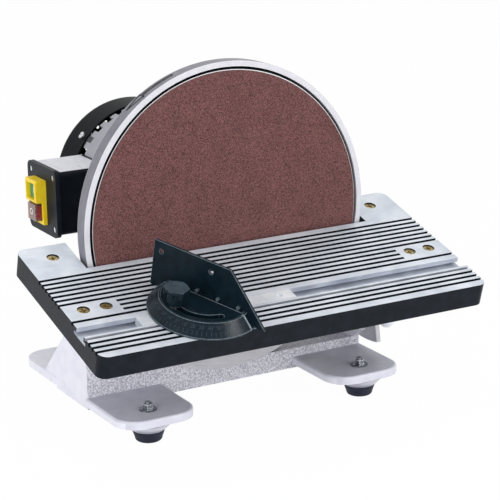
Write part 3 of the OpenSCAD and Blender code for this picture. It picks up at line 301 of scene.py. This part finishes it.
FINISHES = {
    "hammered": hammered_enamel("grey_hammertone_enamel", "#a4a3b0", "#f4f3fb"),
    # Smooth pale enamel; on the base's sides and back its paleness is partly painted light
    "pale": smooth_enamel("pale_grey_enamel", "#e4e5f1", "#eff0f9"),
    "ear_edge": smooth_enamel("pale_lavender_enamel", "#cfd0dc", "#dcdde8"),
    # A darker copy of the base's paint for the front ear tops: painted shade under the table
    "ear_top": smooth_enamel("ear_top_painted_shade", "#bbbcc9", "#c7c8d4"),
    "guard": smooth_enamel("light_grey_enamel", "#c5c5cb", "#d0cfd5"),
    # A darker copy of the guard's grey for its rim: painted shade
    "guard_rim": smooth_enamel("guard_rim_painted_shade", "#6c6b75", "#7b7a84"),
    "motor": smooth_enamel("mid_grey_enamel", "#97979f", "#9e9ea7"),
    "bar_iron": ground_iron("ground_steel_bar", "#cdd3da", "#eef1f4", 0.5),
    "iron": ground_iron("ground_cast_iron", "#c3cad4", "#dfe4eb", 0.5),
    "slot_iron": ground_iron("milled_cast_iron", "#a5abb8", "#cfd4dd", 0.42),
    "black_iron": black_enamel("black_stoving_enamel", "#0b1118", "#151c24"),
    "gauge": black_enamel("blue_black_enamel", "#08151c", "#0f1f28", 0.3, 0.14),
    # A darker copy of the gauge's black for its bevel: painted shade against the light the bevel catches
    "gauge_bevel": black_enamel("bevel_black_painted_shade", "#04111a", "#0a1b25", 0.24, 0.17),
    # Grey for the gauge's edges and tabs: rubbed wear and a painted highlight
    "edge": worn_edge("edge_wear_and_painted_highlight", "#37434c", "#5f6b74"),
    # Light grey for the gauge's end ridge: a painted highlight
    "ridge_highlight": worn_edge("ridge_painted_highlight", "#6d7982", "#9aa4ab"),
    "aluminium": turned_aluminium(),
    "abrasive": abrasive_cloth(),
    "rubber": moulded_rubber(),
    "zinc": plated_metal("bright_zinc_plate", "#a9acb2", "#eceef1", 0.25),
    "dull_zinc": plated_metal("dull_zinc_plate", "#54575d", "#b4b7bd", 0.2),
    "yellow_zinc": plated_metal("yellow_passivated_zinc", "#74602f", "#d2c191", 0.34),
    # Dark steel for the washers' rounded edges: painted shade round their rims
    "dark_metal": plated_metal("washer_edge_painted_shade", "#1d2025", "#3a3e45", 0.4),
    # Near-black for the disc plate's side: painted shade in the gap under the guard
    "plate_side": plated_metal("plate_side_painted_shade", "#0b0d10", "#181a1e", 0.5),
    "steel": plated_metal("drawn_bright_steel", "#bfc3c8", "#dfe2e5", 0.3),
    "black_plastic": moulded_plastic("black_abs", "#0a0f15", "#11161c", gloss=0.1),
    # A lighter copy of the case's black for the lid: painted light from the left
    "lid_plastic": moulded_plastic("black_abs_painted_lit", "#10161e", "#19202a", gloss=0.14),
    # Lighter matt black for the knob's top, partly painted light
    "knob": moulded_plastic("black_phenolic", "#27333c", "#3a4751", 0.4, 0.24),
    "yellow_plastic": moulded_plastic("yellow_polycarbonate", "#f0cd1d", "#ffe136", 0.36),
    "green_plastic": moulded_plastic("green_polycarbonate", "#3f8f60", "#55a576", 0.34),
    "red_plastic": moulded_plastic("red_polycarbonate", "#8a1b26", "#a3222e", 0.34),
    "white_plastic": moulded_plastic("white_polypropylene", "#dfdfda", "#efefea"),
    "clear": clear_plastic("clear_polycarbonate", "#f7dede", 0.97, 0.1),
    "hazed": clear_plastic("hazed_polycarbonate", "#b9a4a1", 0.55, 0.3),
    "powder": powder_coat("black_powder_coat", "#06080b", "#0d1014"),
    "laminations": stacked_laminations(),
    "copper": enamelled_copper(),
    "white_ink": printed("white_print", "#dfe1e0", "#fbfbfa"),
    "black_ink": printed("black_print", "#030405", "#0c0d10"),
    "scale_ink": printed("grey_cast_figures", "#28333b", "#3d4952"),
    "foil": satin_foil(),
}


# Making and shaping
def select_only(piece):
    """Makes piece the one object that operators act on."""
    bpy.ops.object.select_all(action="DESELECT")
    piece.select_set(True)
    bpy.context.view_layer.objects.active = piece


def apply_modifier(piece, kind, **settings):
    select_only(piece)
    modifier = piece.modifiers.new(kind.lower(), kind)
    for name, value in settings.items():
        setattr(modifier, name, value)
    bpy.ops.object.modifier_apply(modifier=modifier.name)


def renamed(piece, name):
    piece.name = name
    piece.data.name = name
    return piece


def welded_copy(node, name):
    """A copy of a CAD node's mesh as one skin, with its flat faces whole again."""
    piece = bpy.data.objects.new(name, NODES[node].data.copy())
    bpy.context.scene.collection.objects.link(piece)
    piece.data.name = name
    select_only(piece)
    bpy.ops.object.mode_set(mode="EDIT")
    bpy.ops.mesh.select_all(action="SELECT")
    bpy.ops.mesh.remove_doubles(threshold=0.004 * MM)
    bpy.ops.mesh.customdata_custom_splitnormals_clear()
    bpy.ops.mesh.dissolve_limited(angle_limit=math.radians(0.4))
    bpy.ops.object.mode_set(mode="OBJECT")
    return piece


def painted(piece, finish):
    """Gives the whole piece one finish."""
    piece.data.materials.clear()
    piece.data.materials.append(FINISHES[finish])


def finish_index(piece, finish):
    """Adds a finish to the piece and gives its place in the piece's list, or -1 where none is named."""
    if not finish:
        return -1
    piece.data.materials.append(FINISHES[finish])
    return len(piece.data.materials) - 1


def repaint(piece, finish, belongs):
    """Gives a finish of their own to the faces that belong to a region."""
    index = finish_index(piece, finish)
    for face in piece.data.polygons:
        if belongs(face):
            face.material_index = index


def roll_edges(piece, chosen, width_mm, finish=None, segments=3):
    """Rounds the chosen edges by width_mm, in a finish of their own where one is named."""
    index = finish_index(piece, finish)
    select_only(piece)
    bpy.ops.object.mode_set(mode="EDIT")
    bpy.ops.mesh.select_mode(type="EDGE")
    bpy.ops.mesh.select_all(action="DESELECT")
    mesh = bmesh.from_edit_mesh(piece.data)
    for edge in mesh.edges:
        if len(edge.link_faces) == 2 and edge.is_convex and chosen(edge):
            edge.select_set(True)
    bmesh.update_edit_mesh(piece.data)
    bpy.ops.mesh.bevel(offset=width_mm * MM, segments=segments, material=index, clamp_overlap=False)
    bpy.ops.object.mode_set(mode="OBJECT")


def broken_edges(piece, edge_mm, finish=None, segments=2):
    """Takes the sharpness off every edge of the piece."""
    apply_modifier(piece, "BEVEL", width=edge_mm * MM, segments=segments, limit_method="ANGLE",
                   angle_limit=math.radians(35), material=finish_index(piece, finish),
                   use_clamp_overlap=True, miter_outer="MITER_SHARP")


def shaded(piece):
    """Smooth over curves, flat on flats."""
    select_only(piece)
    bpy.ops.object.shade_smooth_by_angle(angle=math.radians(48))
    apply_modifier(piece, "WEIGHTED_NORMAL", keep_sharp=True, weight=80)


def stands_for(piece, node):
    """The finished piece takes the CAD node's place on the node's own body."""
    shaded(piece)
    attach(piece, BODY_OF[node])
    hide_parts(node)


def mid(edge):
    return (edge.verts[0].co + edge.verts[1].co) / 2


def from_axis(point):
    """Distance of a point from the disc's axis."""
    return math.hypot(point.x, point.z - AXIS_HEIGHT)


# Pieces whose edges are only broken
SOFTENED = [
    # node, piece, rounding in mm, finish, finish of the edges, material slot
    ("motor_frame", "motor_shell", 0.4, "motor", None, "motor_paint"),
    ("switch_box", "switch_case", 0.6, "black_plastic", None, "black_plastic"),
    # The lid is painted a lighter black than the case: painted light from the left
    ("switch_box_lid", "switch_lid", 0.8, "lid_plastic", None, "black_plastic"),
    ("stop_button", "red_button", 0.5, "red_plastic", None, "red_plastic"),
    ("lower_disc_cover", "lower_cover", 0.4, "guard", None, "grey_hammered_paint"),
    ("right_tilt_bracket", "right_bracket", 0.5, "guard", None, "grey_hammered_paint"),
    ("left_tilt_bracket", "left_bracket", 0.5, "guard", None, "grey_hammered_paint"),
    ("lock_lever", "lever", 0.4, "pale", None, "lever_metal"),
    ("mitre_bar", "guide_bar", 0.4, "bar_iron", None, "bright_steel"),
    ("foot_bolts", "bolts_in_feet", 0.4, "dull_zinc", None, "zinc_steel"),
    ("foot_nuts", "nuts_on_feet", 0.4, "dull_zinc", "zinc", "zinc_steel"),
    # The washers' rounded edges are painted dark: painted shade round their rims
    ("foot_washers", "washers_on_feet", 0.4, "dull_zinc", "dark_metal", "zinc_steel"),
    ("guide_nuts", "nuts_on_guides", 0.3, "zinc", None, "zinc_steel"),
    ("guard_bolts", "bolts_on_base", 0.3, "zinc", None, "zinc_steel"),
]
for node, name, edge_mm, finish, edge_finish, slot in SOFTENED:
    piece = welded_copy(node, name)
    painted(piece, finish)
    broken_edges(piece, edge_mm, edge_finish)
    stands_for(piece, node)


# Base: frosted front; smooth pale sides and back, partly painted light; front ear tops painted darker grey as
# painted shade under the table; rolled pale rims
def base():
    washer_r = 9 * MM
    bolt_to_wall = 60 * MM
    frosted_depth = 90 * MM
    ear_end = 6 * MM
    least_wall = 1500 * MM * MM
    piece = welded_copy("base_casting", "base")
    painted(piece, "hammered")
    low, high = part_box("foot_washers")
    bolts = [Vector((x, low.y + washer_r, 0)) for x in (low.x + washer_r, high.x - washer_r)]
    front_wall = bolts[0].y + bolt_to_wall
    ear_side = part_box("base_casting")[1].x - ear_end

    def at_ear_top(normal, centre):
        return normal.z > 0.99 and abs(centre.z - EAR_TOP) < 0.1 * MM

    def is_front_rim(edge):
        tops = [face for face in edge.link_faces if at_ear_top(face.normal, face.calc_center_median())]
        place = Vector((mid(edge).x, mid(edge).y, 0))
        clear_of_bolts = min((place - bolt).length for bolt in bolts) > washer_r
        return len(tops) == 1 and clear_of_bolts and place.y < front_wall - 0.1 * MM

    def is_ear_edge(face):
        is_wall = face.normal.y < -0.95 and face.area > least_wall
        return face.center.z < EAR_TOP and face.center.y < front_wall - 1 * MM and not is_wall

    def is_smooth(face):
        past_front = face.center.y > front_wall - 1 * MM
        on_ear_side = abs(face.center.x) > ear_side and face.center.z < EAR_TOP and past_front
        return abs(face.normal.x) > 0.8 or face.center.y > front_wall + frosted_depth or on_ear_side

    def is_front_ear_top(face):
        return at_ear_top(face.normal, face.center) and face.center.y < front_wall

    repaint(piece, "ear_edge", is_ear_edge)
    # The sides and back are painted a smoother, paler enamel than the front: partly painted light where the lamps
    # fall
    repaint(piece, "pale", is_smooth)
    # The front ear tops are painted darker grey: painted shade under the table
    repaint(piece, "ear_top", is_front_ear_top)
    roll_edges(piece, is_front_rim, 2.4, "ear_edge", 4)
    stands_for(piece, "base_casting")


base()


# Guard: light front face; its rim painted darker grey as painted shade, and black at the bottom of its dish as
# painted shade deep in the gap
def guard():
    dish_from = 5 * MM
    front_zone = 3 * MM
    piece = welded_copy("disc_guard", "guard")
    painted(piece, "guard")

    def on_rim(face):
        return abs(face.normal.y) < 0.3 and from_axis(face.center) > GUARD_RADIUS - 2 * MM

    def in_dish(face):
        return face.normal.y < -0.9 and face.center.y > dish_from and from_axis(face.center) < GUARD_BORE

    def is_front_edge(edge):
        return from_axis(mid(edge)) > GUARD_RADIUS - 0.5 * MM and mid(edge).y < front_zone

    # The rim is painted a darker grey than the front: painted shade
    repaint(piece, "guard_rim", on_rim)
    # The bottom of the dish is painted black: painted shade deep in the gap round the disc
    repaint(piece, "black_iron", in_dish)
    roll_edges(piece, is_front_edge, 0.8)
    stands_for(piece, "disc_guard")


guard()


# Disc plate: bright turned face; its side, dull and near-black, and the roll of its front edge are painted shade
# for the gap under the guard
def disc_plate():
    piece = welded_copy("disc_plate", "turned_plate")
    painted(piece, "aluminium")
    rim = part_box("disc_plate")[1].x
    front_zone = 2 * MM

    def on_side(face):
        return abs(face.normal.y) < 0.3 and from_axis(face.center) > rim - 1 * MM

    def is_front_edge(edge):
        return from_axis(mid(edge)) > rim - 1 * MM and mid(edge).y < front_zone

    # The side and the rolled front edge are painted near-black: painted shade deep in the guard's gap
    repaint(piece, "plate_side", on_side)
    roll_edges(piece, is_front_edge, 0.9, "plate_side")
    stands_for(piece, "disc_plate")


disc_plate()


# The table: bright ground strips between black grooves and black sides
def table():
    undercut_half = 12.6 * MM
    slot_depth = 8.5 * MM
    skin = 0.2 * MM
    piece = welded_copy("table_top", "table_plate")
    painted(piece, "black_iron")
    top = max(v.co.dot(TABLE_UP) for v in piece.data.vertices)
    slot_middle = PIVOT.dot(TABLE_SLOPE)

    def on_top(face):
        return face.normal.dot(TABLE_UP) > 0.99 and top - face.center.dot(TABLE_UP) < skin

    def in_slot(face):
        near = abs(face.center.dot(TABLE_SLOPE) - slot_middle) < undercut_half
        sunk = skin < top - face.center.dot(TABLE_UP) < slot_depth
        return near and sunk and abs(face.normal.x) < 0.5

    repaint(piece, "iron", on_top)
    repaint(piece, "slot_iron", in_slot)
    broken_edges(piece, 0.35)
    stands_for(piece, "table_top")


table()


# Mitre gauge: blue-black castings; their edges painted grey as rubbed wear and painted highlight, tabs and a ridge
# painted grey as highlights, the bevel a darker black as painted shade
def is_sharp(edge):
    return edge.calc_face_angle(0) > math.radians(35)


def gauge():
    bevel_from = 44 * MM
    ridge_from, ridge_to, ridge_reach = -3.1 * MM, -0.9 * MM, 40 * MM
    head_high, fence_face = 13 * MM, 5.5 * MM
    tab_low, tab_high, tab_face = 1.04 * head_high, 1.3 * head_high, fence_face - 0.2 * MM
    to_head = ON_HEAD.inverted()

    def on_bevel(face):
        lean = face.normal.dot(TABLE_UP)
        return 0.5 < lean < 0.85 and (face.center - PIVOT).length > bevel_from

    def on_ridge(face):
        place = to_head @ face.center
        return ridge_from < place.x < ridge_to and place.y < -ridge_reach

    def on_tab(face):
        place = to_head @ face.center
        return tab_low < place.z < tab_high and 0 < place.x < tab_face

    for node, name in [("mitre_head", "protractor"), ("mitre_fence", "fence")]:
        piece = welded_copy(node, name)
        painted(piece, "gauge")
        # The bevel faces get the darker copy of the black: painted shade
        repaint(piece, "gauge_bevel", on_bevel)
        # The end ridge is painted light grey: a painted highlight
        repaint(piece, "ridge_highlight", on_ridge)
        # The tabs are painted grey: a painted highlight on their tops
        repaint(piece, "edge", on_tab)
        # The rolled edges are painted grey: rubbed wear and a painted highlight
        roll_edges(piece, is_sharp, 0.45, "edge", 2)
        stands_for(piece, node)


gauge()


def round_bar(radius, height, low, place=(0, 0), sides=64):
    """An upright round bar from z = low, all in mm."""
    bpy.ops.object.select_all(action="DESELECT")
    bpy.ops.mesh.primitive_cylinder_add(vertices=sides, radius=radius * MM, depth=height * MM,
                                        location=(place[0] * MM, place[1] * MM, (low + height / 2) * MM))
    bar = bpy.context.object
    bpy.ops.object.transform_apply(location=True)
    return bar


def joined(parts, name):
    """One piece from many, with its own mesh."""
    bpy.ops.object.select_all(action="DESELECT")
    for part in parts:
        part.select_set(True)
    bpy.context.view_layer.objects.active = parts[0]
    bpy.ops.object.join()
    return renamed(bpy.context.object, name)


def sunk_top(bar, rim_w, step_w, depth):
    """Sinks the top face of a bar inside a rim, all in mm."""
    bpy.ops.object.mode_set(mode="EDIT")
    bpy.ops.mesh.select_mode(type="FACE")
    bpy.ops.mesh.select_all(action="DESELECT")
    mesh = bmesh.from_edit_mesh(bar.data)
    for face in mesh.faces:
        face.select_set(face.normal.z > 0.9)
    bmesh.update_edit_mesh(bar.data)
    bpy.ops.mesh.inset(thickness=rim_w * MM)
    bpy.ops.mesh.inset(thickness=step_w * MM)
    bpy.ops.mesh.extrude_region_move(TRANSFORM_OT_translate={"value": (0, 0, -depth * MM)})
    bpy.ops.object.mode_set(mode="OBJECT")


def knob():
    """Clamp knob: a round plate flush with six lobes, over a narrower hub."""
    top, foot = 31.4, 13.7              # mm above the joint's place
    plate_r, plate_t = 11.6, 3.2
    hub_r = 8.5
    lobes, lobe_r, lobe_l, lobe_reach = 6, 3.3, 8, 9.4
    below_plate = 0.05
    disc = round_bar(plate_r, plate_t, top - plate_t, sides=96)
    sunk_top(disc, rim_w=4.2, step_w=0.6, depth=0.5)
    parts = [disc, round_bar(hub_r, top - plate_t / 2 - foot, foot)]
    for i in range(lobes):
        angle = math.radians(30 + i * 360 / lobes)
        place = (lobe_reach * math.cos(angle), lobe_reach * math.sin(angle))
        parts.append(round_bar(lobe_r, lobe_l, top - lobe_l - below_plate, place, 48))
    for part in parts:
        painted(part, "knob")
        broken_edges(part, 0.7, segments=4)
        # The upright faces get the gauge's darker black: painted shade on the knob's sides, with its top left
        # lighter
        repaint(part, "gauge", lambda face: face.normal.z < 0.3)
    piece = joined(parts, "knob")
    piece.data.transform(Matrix.Translation(JOINTS["clamp_knob_turn"]["pos_m"])
                         @ Matrix.Rotation(TABLE_TILT, 4, "X"))
    stands_for(piece, "clamp_knob")


knob()


# Switch: yellow frame with a well rounded block, wide start button, clear cap
SWITCH_LOW, SWITCH_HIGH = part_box("switch_housing")
SWITCH_MIDDLE = Vector((SWITCH_LOW.x, (SWITCH_LOW.y + SWITCH_HIGH.y) / 2, SWITCH_HIGH.z - 22 * MM))

# The start button's opening in mm from that middle: half its width and its two ends, old and new
OPENING_HALF = (8.3, 9.7)
OPENING_ENDS = [(1.7, 1.2), (18.3, 18.9)]
BUTTON_PLAY = 0.3


def widened(piece, half, ends):
    """Moves an opening's or a button's side walls and ends from old places to new ones, in mm."""
    half_from, half_to = half
    for vertex in piece.data.vertices:
        across = vertex.co.y - SWITCH_MIDDLE.y
        if abs(abs(across) - half_from * MM) > 0.05 * MM:
            continue
        for end_from, end_to in ends:
            if abs(vertex.co.z - SWITCH_MIDDLE.z - end_from * MM) < 0.05 * MM:
                vertex.co.y += math.copysign((half_to - half_from) * MM, across)
                vertex.co.z = SWITCH_MIDDLE.z + end_to * MM
                break


def switch_frame():
    half_wide = 14.5 * MM
    near = 0.1 * MM

    def is_outer_front(edge):
        ends = [v.co for v in edge.verts]
        at_front = all(abs(p.x - SWITCH_LOW.x) < near for p in ends)
        at_top = all(abs(p.z - SWITCH_HIGH.z) < near for p in ends)
        at_side = all(abs(abs(p.y - SWITCH_MIDDLE.y) - half_wide) < near for p in ends)
        return at_front and (at_top or at_side)

    piece = welded_copy("switch_housing", "switch_frame")
    painted(piece, "yellow_plastic")
    widened(piece, OPENING_HALF, OPENING_ENDS)
    roll_edges(piece, is_outer_front, 2.4, segments=5)
    stands_for(piece, "switch_housing")


def start_button():
    foot, head = OPENING_ENDS
    piece = welded_copy("start_button", "green_button")
    painted(piece, "green_plastic")
    widened(piece, [half - BUTTON_PLAY for half in OPENING_HALF],
            [[z + BUTTON_PLAY for z in foot], [z - BUTTON_PLAY for z in head]])
    broken_edges(piece, 0.6)
    stands_for(piece, "start_button")


def stop_cap():
    def is_pressed(face):
        at_front = face.normal.x < -0.9 and face.center.x < SWITCH_LOW.x + 1 * MM
        return face.normal.z > 0.9 or at_front

    piece = welded_copy("stop_button_cap", "clear_cap")
    painted(piece, "clear")
    repaint(piece, "hazed", is_pressed)
    broken_edges(piece, 0.5)
    stands_for(piece, "stop_button_cap")


switch_frame()
start_button()
stop_cap()


# Drawn marks: small raised figures and lines
def flat_bar(length, width, height, cuts=0):
    """A low bar along x with its middle at the origin, standing on z = 0, all in mm."""
    bpy.ops.object.select_all(action="DESELECT")
    bpy.ops.mesh.primitive_plane_add(size=MM)
    bar = bpy.context.object
    bpy.ops.object.mode_set(mode="EDIT")
    bpy.ops.transform.resize(value=(length, width, 1))
    bpy.ops.mesh.extrude_region_move(TRANSFORM_OT_translate={"value": (0, 0, height * MM)})
    bpy.ops.mesh.select_all(action="SELECT")
    bpy.ops.mesh.normals_make_consistent(inside=False)
    if cuts:
        bpy.ops.mesh.subdivide(number_cuts=cuts)
    bpy.ops.object.mode_set(mode="OBJECT")
    return bar


def figure(text, size, height):
    """Raised lettering of a size in mm with its middle at the origin, as a mesh."""
    bpy.ops.object.select_all(action="DESELECT")
    bpy.ops.object.text_add()
    letters = bpy.context.object
    letters.data.body = text
    letters.data.size = size * MM
    letters.data.extrude = height * MM / 2
    letters.data.align_x = "CENTER"
    letters.data.align_y = "CENTER"
    letters.data.resolution_u = 3
    bpy.ops.object.convert(target="MESH")
    letters = bpy.context.object
    letters.data.transform(Matrix.Translation((0, 0, height * MM / 2)))
    return letters


def added(piece, carrier, finish):
    """A new piece rides with the node that carries it, in its finish."""
    painted(piece, finish)
    select_only(piece)
    bpy.ops.object.shade_flat()
    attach(piece, BODY_OF[carrier])


def turned_outwards(piece):
    """Turns the piece's faces outwards after its points have moved."""
    select_only(piece)
    bpy.ops.object.mode_set(mode="EDIT")
    bpy.ops.mesh.select_all(action="SELECT")
    bpy.ops.mesh.normals_make_consistent(inside=False)
    bpy.ops.object.mode_set(mode="OBJECT")


def direction_arrow():
    """Outline arrow on the guard's rim, in black: the way the disc turns."""
    tip, barb, tail = 131, 123.4, 110                   # degrees round the disc, from the right
    middle, half_head, half_shaft = 10.7, 4.6, 1.5      # mm behind the abrasive's face, and across
    line_w, line_t, line_end = 1.6, 0.1, 0.45
    upper, lower = middle - half_shaft, middle + half_shaft
    lines = [
        ((tip, middle), (barb, middle - half_head)),
        ((tip, middle), (barb, middle + half_head)),
        ((barb, middle - half_head), (barb, upper)),
        ((barb, middle + half_head), (barb, lower)),
        ((barb, upper), (tail, upper)),
        ((barb, lower), (tail, lower)),
        ((tail, upper), (tail, lower)),
    ]
    mm_per_degree = math.radians(1) * GUARD_RADIUS / MM
    parts = []
    for (angle_a, y_a), (angle_b, y_b) in lines:
        a = Vector((angle_a * mm_per_degree, y_a, 0))
        b = Vector((angle_b * mm_per_degree, y_b, 0))
        lean = math.atan2(b.y - a.y, b.x - a.x)
        bar = flat_bar((b - a).length + 2 * line_end, line_w, line_t, 6)
        bar.data.transform(Matrix.Translation((a + b) / 2 * MM) @ Matrix.Rotation(lean, 4, "Z"))
        parts.append(bar)
    arrow = joined(parts, "direction_arrow")
    for vertex in arrow.data.vertices:
        angle = vertex.co.x / GUARD_RADIUS
        out = GUARD_RADIUS + vertex.co.z
        vertex.co = (out * math.cos(angle), vertex.co.y, AXIS_HEIGHT + out * math.sin(angle))
    turned_outwards(arrow)
    added(arrow, "disc_guard", "black_ink")


direction_arrow()


def protractor_scale():
    """Degree figures and strokes cast on the protractor's bevel, 60 degrees either way."""
    rim_r, rim_low, bevel_in, bevel_up = 55.5, 1.5, 10.5, 11.5
    stroke_r, stroke_l, stroke_w = 52.4, 4.6, 0.5
    figure_r, figure_size = 48.4, 5.2
    height = 0.15
    slope = math.atan2(bevel_up, bevel_in)

    def on_bevel(r, angle):
        """Lays a flat drawing on the bevel at radius r, its top towards the pivot."""
        z = rim_low + (rim_r - r) / bevel_in * bevel_up
        lie = Matrix((
            (0, math.cos(slope), -math.sin(slope), -r * MM),
            (-1, 0, 0, 0),
            (0, math.sin(slope), math.cos(slope), z * MM),
            (0, 0, 0, 1),
        ))
        return ON_HEAD @ Matrix.Rotation(math.radians(angle), 4, "Z") @ lie

    parts = []
    for angle in range(-60, 61, 5):
        stroke = flat_bar(stroke_w, stroke_l, height)
        stroke.data.transform(on_bevel(stroke_r, angle))
        parts.append(stroke)
        if angle % 10 == 0:
            number = figure("%d°" % abs(angle), figure_size, height)
            number.data.transform(on_bevel(figure_r, angle))
            parts.append(number)
    added(joined(parts, "protractor_scale"), "mitre_head", "scale_ink")


protractor_scale()


def switch_mark(node, name, text):
    """A mark of the kind that switches carry, on the middle of a button's face."""
    facing_left = Matrix.Rotation(math.radians(-90), 4, "Z") @ Matrix.Rotation(math.radians(90), 4, "X")
    low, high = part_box(node)
    face_middle = Vector((low.x, (low.y + high.y) / 2, (low.z + high.z) / 2))
    mark = renamed(figure(text, 10, 0.15), name)
    mark.data.transform(Matrix.Translation(face_middle) @ facing_left)
    added(mark, node, "white_ink")


switch_mark("start_button", "start_mark", "I")
switch_mark("stop_button_cap", "stop_mark", "O")


def data_plate():
    """Bare aluminium plate on top of the switch box, where such machines carry their data."""
    length, thickness, margin = 51, 0.5, 3
    middle_x = -106.5 * MM
    low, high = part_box("switch_box")
    width = (high.y - low.y) / MM - 2 * margin
    piece = renamed(flat_bar(length, width, thickness), "data_plate")
    piece.data.transform(Matrix.Translation((middle_x, (low.y + high.y) / 2, high.z)))
    broken_edges(piece, 0.2)
    added(piece, "switch_box", "foil")


data_plate()

# Nodes that keep their own shape and get their finish here
KEPT = {
    "rubber": ["rubber_feet"],
    "zinc": ["cover_screws", "shaft_key", "hub_set_screws", "bell_screws", "fan_cover_screws",
             "lid_screws", "guide_bolts", "lock_stud", "fence_screws", "head_pivot_screw",
             "clamp_stud"],
    "yellow_zinc": ["table_screws"],
    "abrasive": ["abrasive_disc"],
    "steel": ["motor_shaft", "front_bearing", "rear_bearing"],
    "bar_iron": ["guide_washer"],
    "laminations": ["rotor", "stator_core"],
    "copper": ["stator_windings"],
    "motor": ["front_end_bell", "rear_end_bell"],
    "powder": ["fan_cover"],
    "black_plastic": ["cooling_fan", "dust_spout", "cable_gland"],
    "white_plastic": ["run_capacitor"],
}
for finish, kept_nodes in KEPT.items():
    for node in kept_nodes:
        painted(NODES[node], finish)


# Studio
def seen_directly(tree):
    """1 for what the camera, gloss and glass see, and 0 for light that falls on the object."""
    path = add(tree, "ShaderNodeLightPath").outputs
    seen = add(tree, "ShaderNodeMath", {0: path["Is Camera Ray"], 1: path["Is Glossy Ray"]},
               operation="MAXIMUM").outputs[0]
    return add(tree, "ShaderNodeMath", {0: seen, 1: path["Is Transmission Ray"]},
               operation="MAXIMUM").outputs[0]


def studio_world():
    """Soft even light, in front of a white background."""
    world = bpy.data.worlds.new("white_studio")
    bpy.context.scene.world = world
    world.use_nodes = True
    tree = world.node_tree
    strength = add(tree, "ShaderNodeMapRange", {"Value": seen_directly(tree), "To Min": 0.5, "To Max": 1.0})
    tree.links.new(strength.outputs["Result"], tree.nodes["Background"].inputs["Strength"])
    tree.nodes["Background"].inputs["Color"].default_value = linear("#ffffff")


def floor():
    """White paper sweep that keeps a little of the object's shadow."""
    bpy.ops.object.select_all(action="DESELECT")
    bpy.ops.mesh.primitive_plane_add(size=12)
    plane = bpy.context.object
    plane.name = "floor"
    material = bpy.data.materials.new("white_sweep")
    material.use_nodes = True
    tree = material.node_tree
    tree.nodes.clear()
    share = add(tree, "ShaderNodeMath", {0: seen_directly(tree), 1: 0.98}, operation="MULTIPLY")
    paper = add(tree, "ShaderNodeBsdfDiffuse", {"Color": linear("#f8f8fa")})
    glow = add(tree, "ShaderNodeEmission", {"Color": linear("#ffffff"), "Strength": 1.0})
    both = add(tree, "ShaderNodeMixShader", {0: share.outputs[0], 1: paper.outputs[0], 2: glow.outputs[0]})
    add(tree, "ShaderNodeOutputMaterial", {"Surface": both.outputs[0]})
    plane.data.materials.append(material)


def softbox(name, place, aim, size, power):
    """A soft lamp of a size in metres and a power in watts, turned towards its aim."""
    light = bpy.data.lights.new(name, "AREA")
    light.shape = "RECTANGLE"
    light.size, light.size_y = size
    light.energy = power
    lamp = bpy.data.objects.new(name, light)
    bpy.context.scene.collection.objects.link(lamp)
    lamp.location = place
    lamp.rotation_euler = (Vector(aim) - Vector(place)).to_track_quat("-Z", "Y").to_euler()


def camera():
    """The photograph's viewpoint: 1.9 m away, to the left, a little above the table."""
    data = bpy.data.cameras.new("camera")
    data.lens = 134.98                  # mm, fitted to the photograph as the place and the turn are
    data.sensor_width = 36
    data.clip_end = 50
    eye = bpy.data.objects.new("camera", data)
    bpy.context.scene.collection.objects.link(eye)
    eye.location = (-0.8941, -1.6313, AXIS_HEIGHT + 0.4935)
    eye.rotation_euler = [math.radians(a) for a in (74.137, 0.930, -29.650)]
    bpy.context.scene.camera = eye


studio_world()
floor()
OBJECT_MIDDLE = (0, 0, 0.2)
BASE_FRONT = (0, 0, 0.08)
softbox("key_from_the_right", (1.3, -1.7, 1.2), OBJECT_MIDDLE, (0.9, 0.8), 20)
softbox("top", (-0.7, 0.1, 2.2), OBJECT_MIDDLE, (1.8, 1.4), 11)
softbox("fill_from_the_left", (-2.0, -0.9, 0.8), OBJECT_MIDDLE, (1.2, 1.2), 17)
softbox("low_front_fill", (-0.2, -2.2, 0.35), BASE_FRONT, (1.6, 0.5), 12)
camera()
bpy.context.scene.view_settings.view_transform = "Standard"
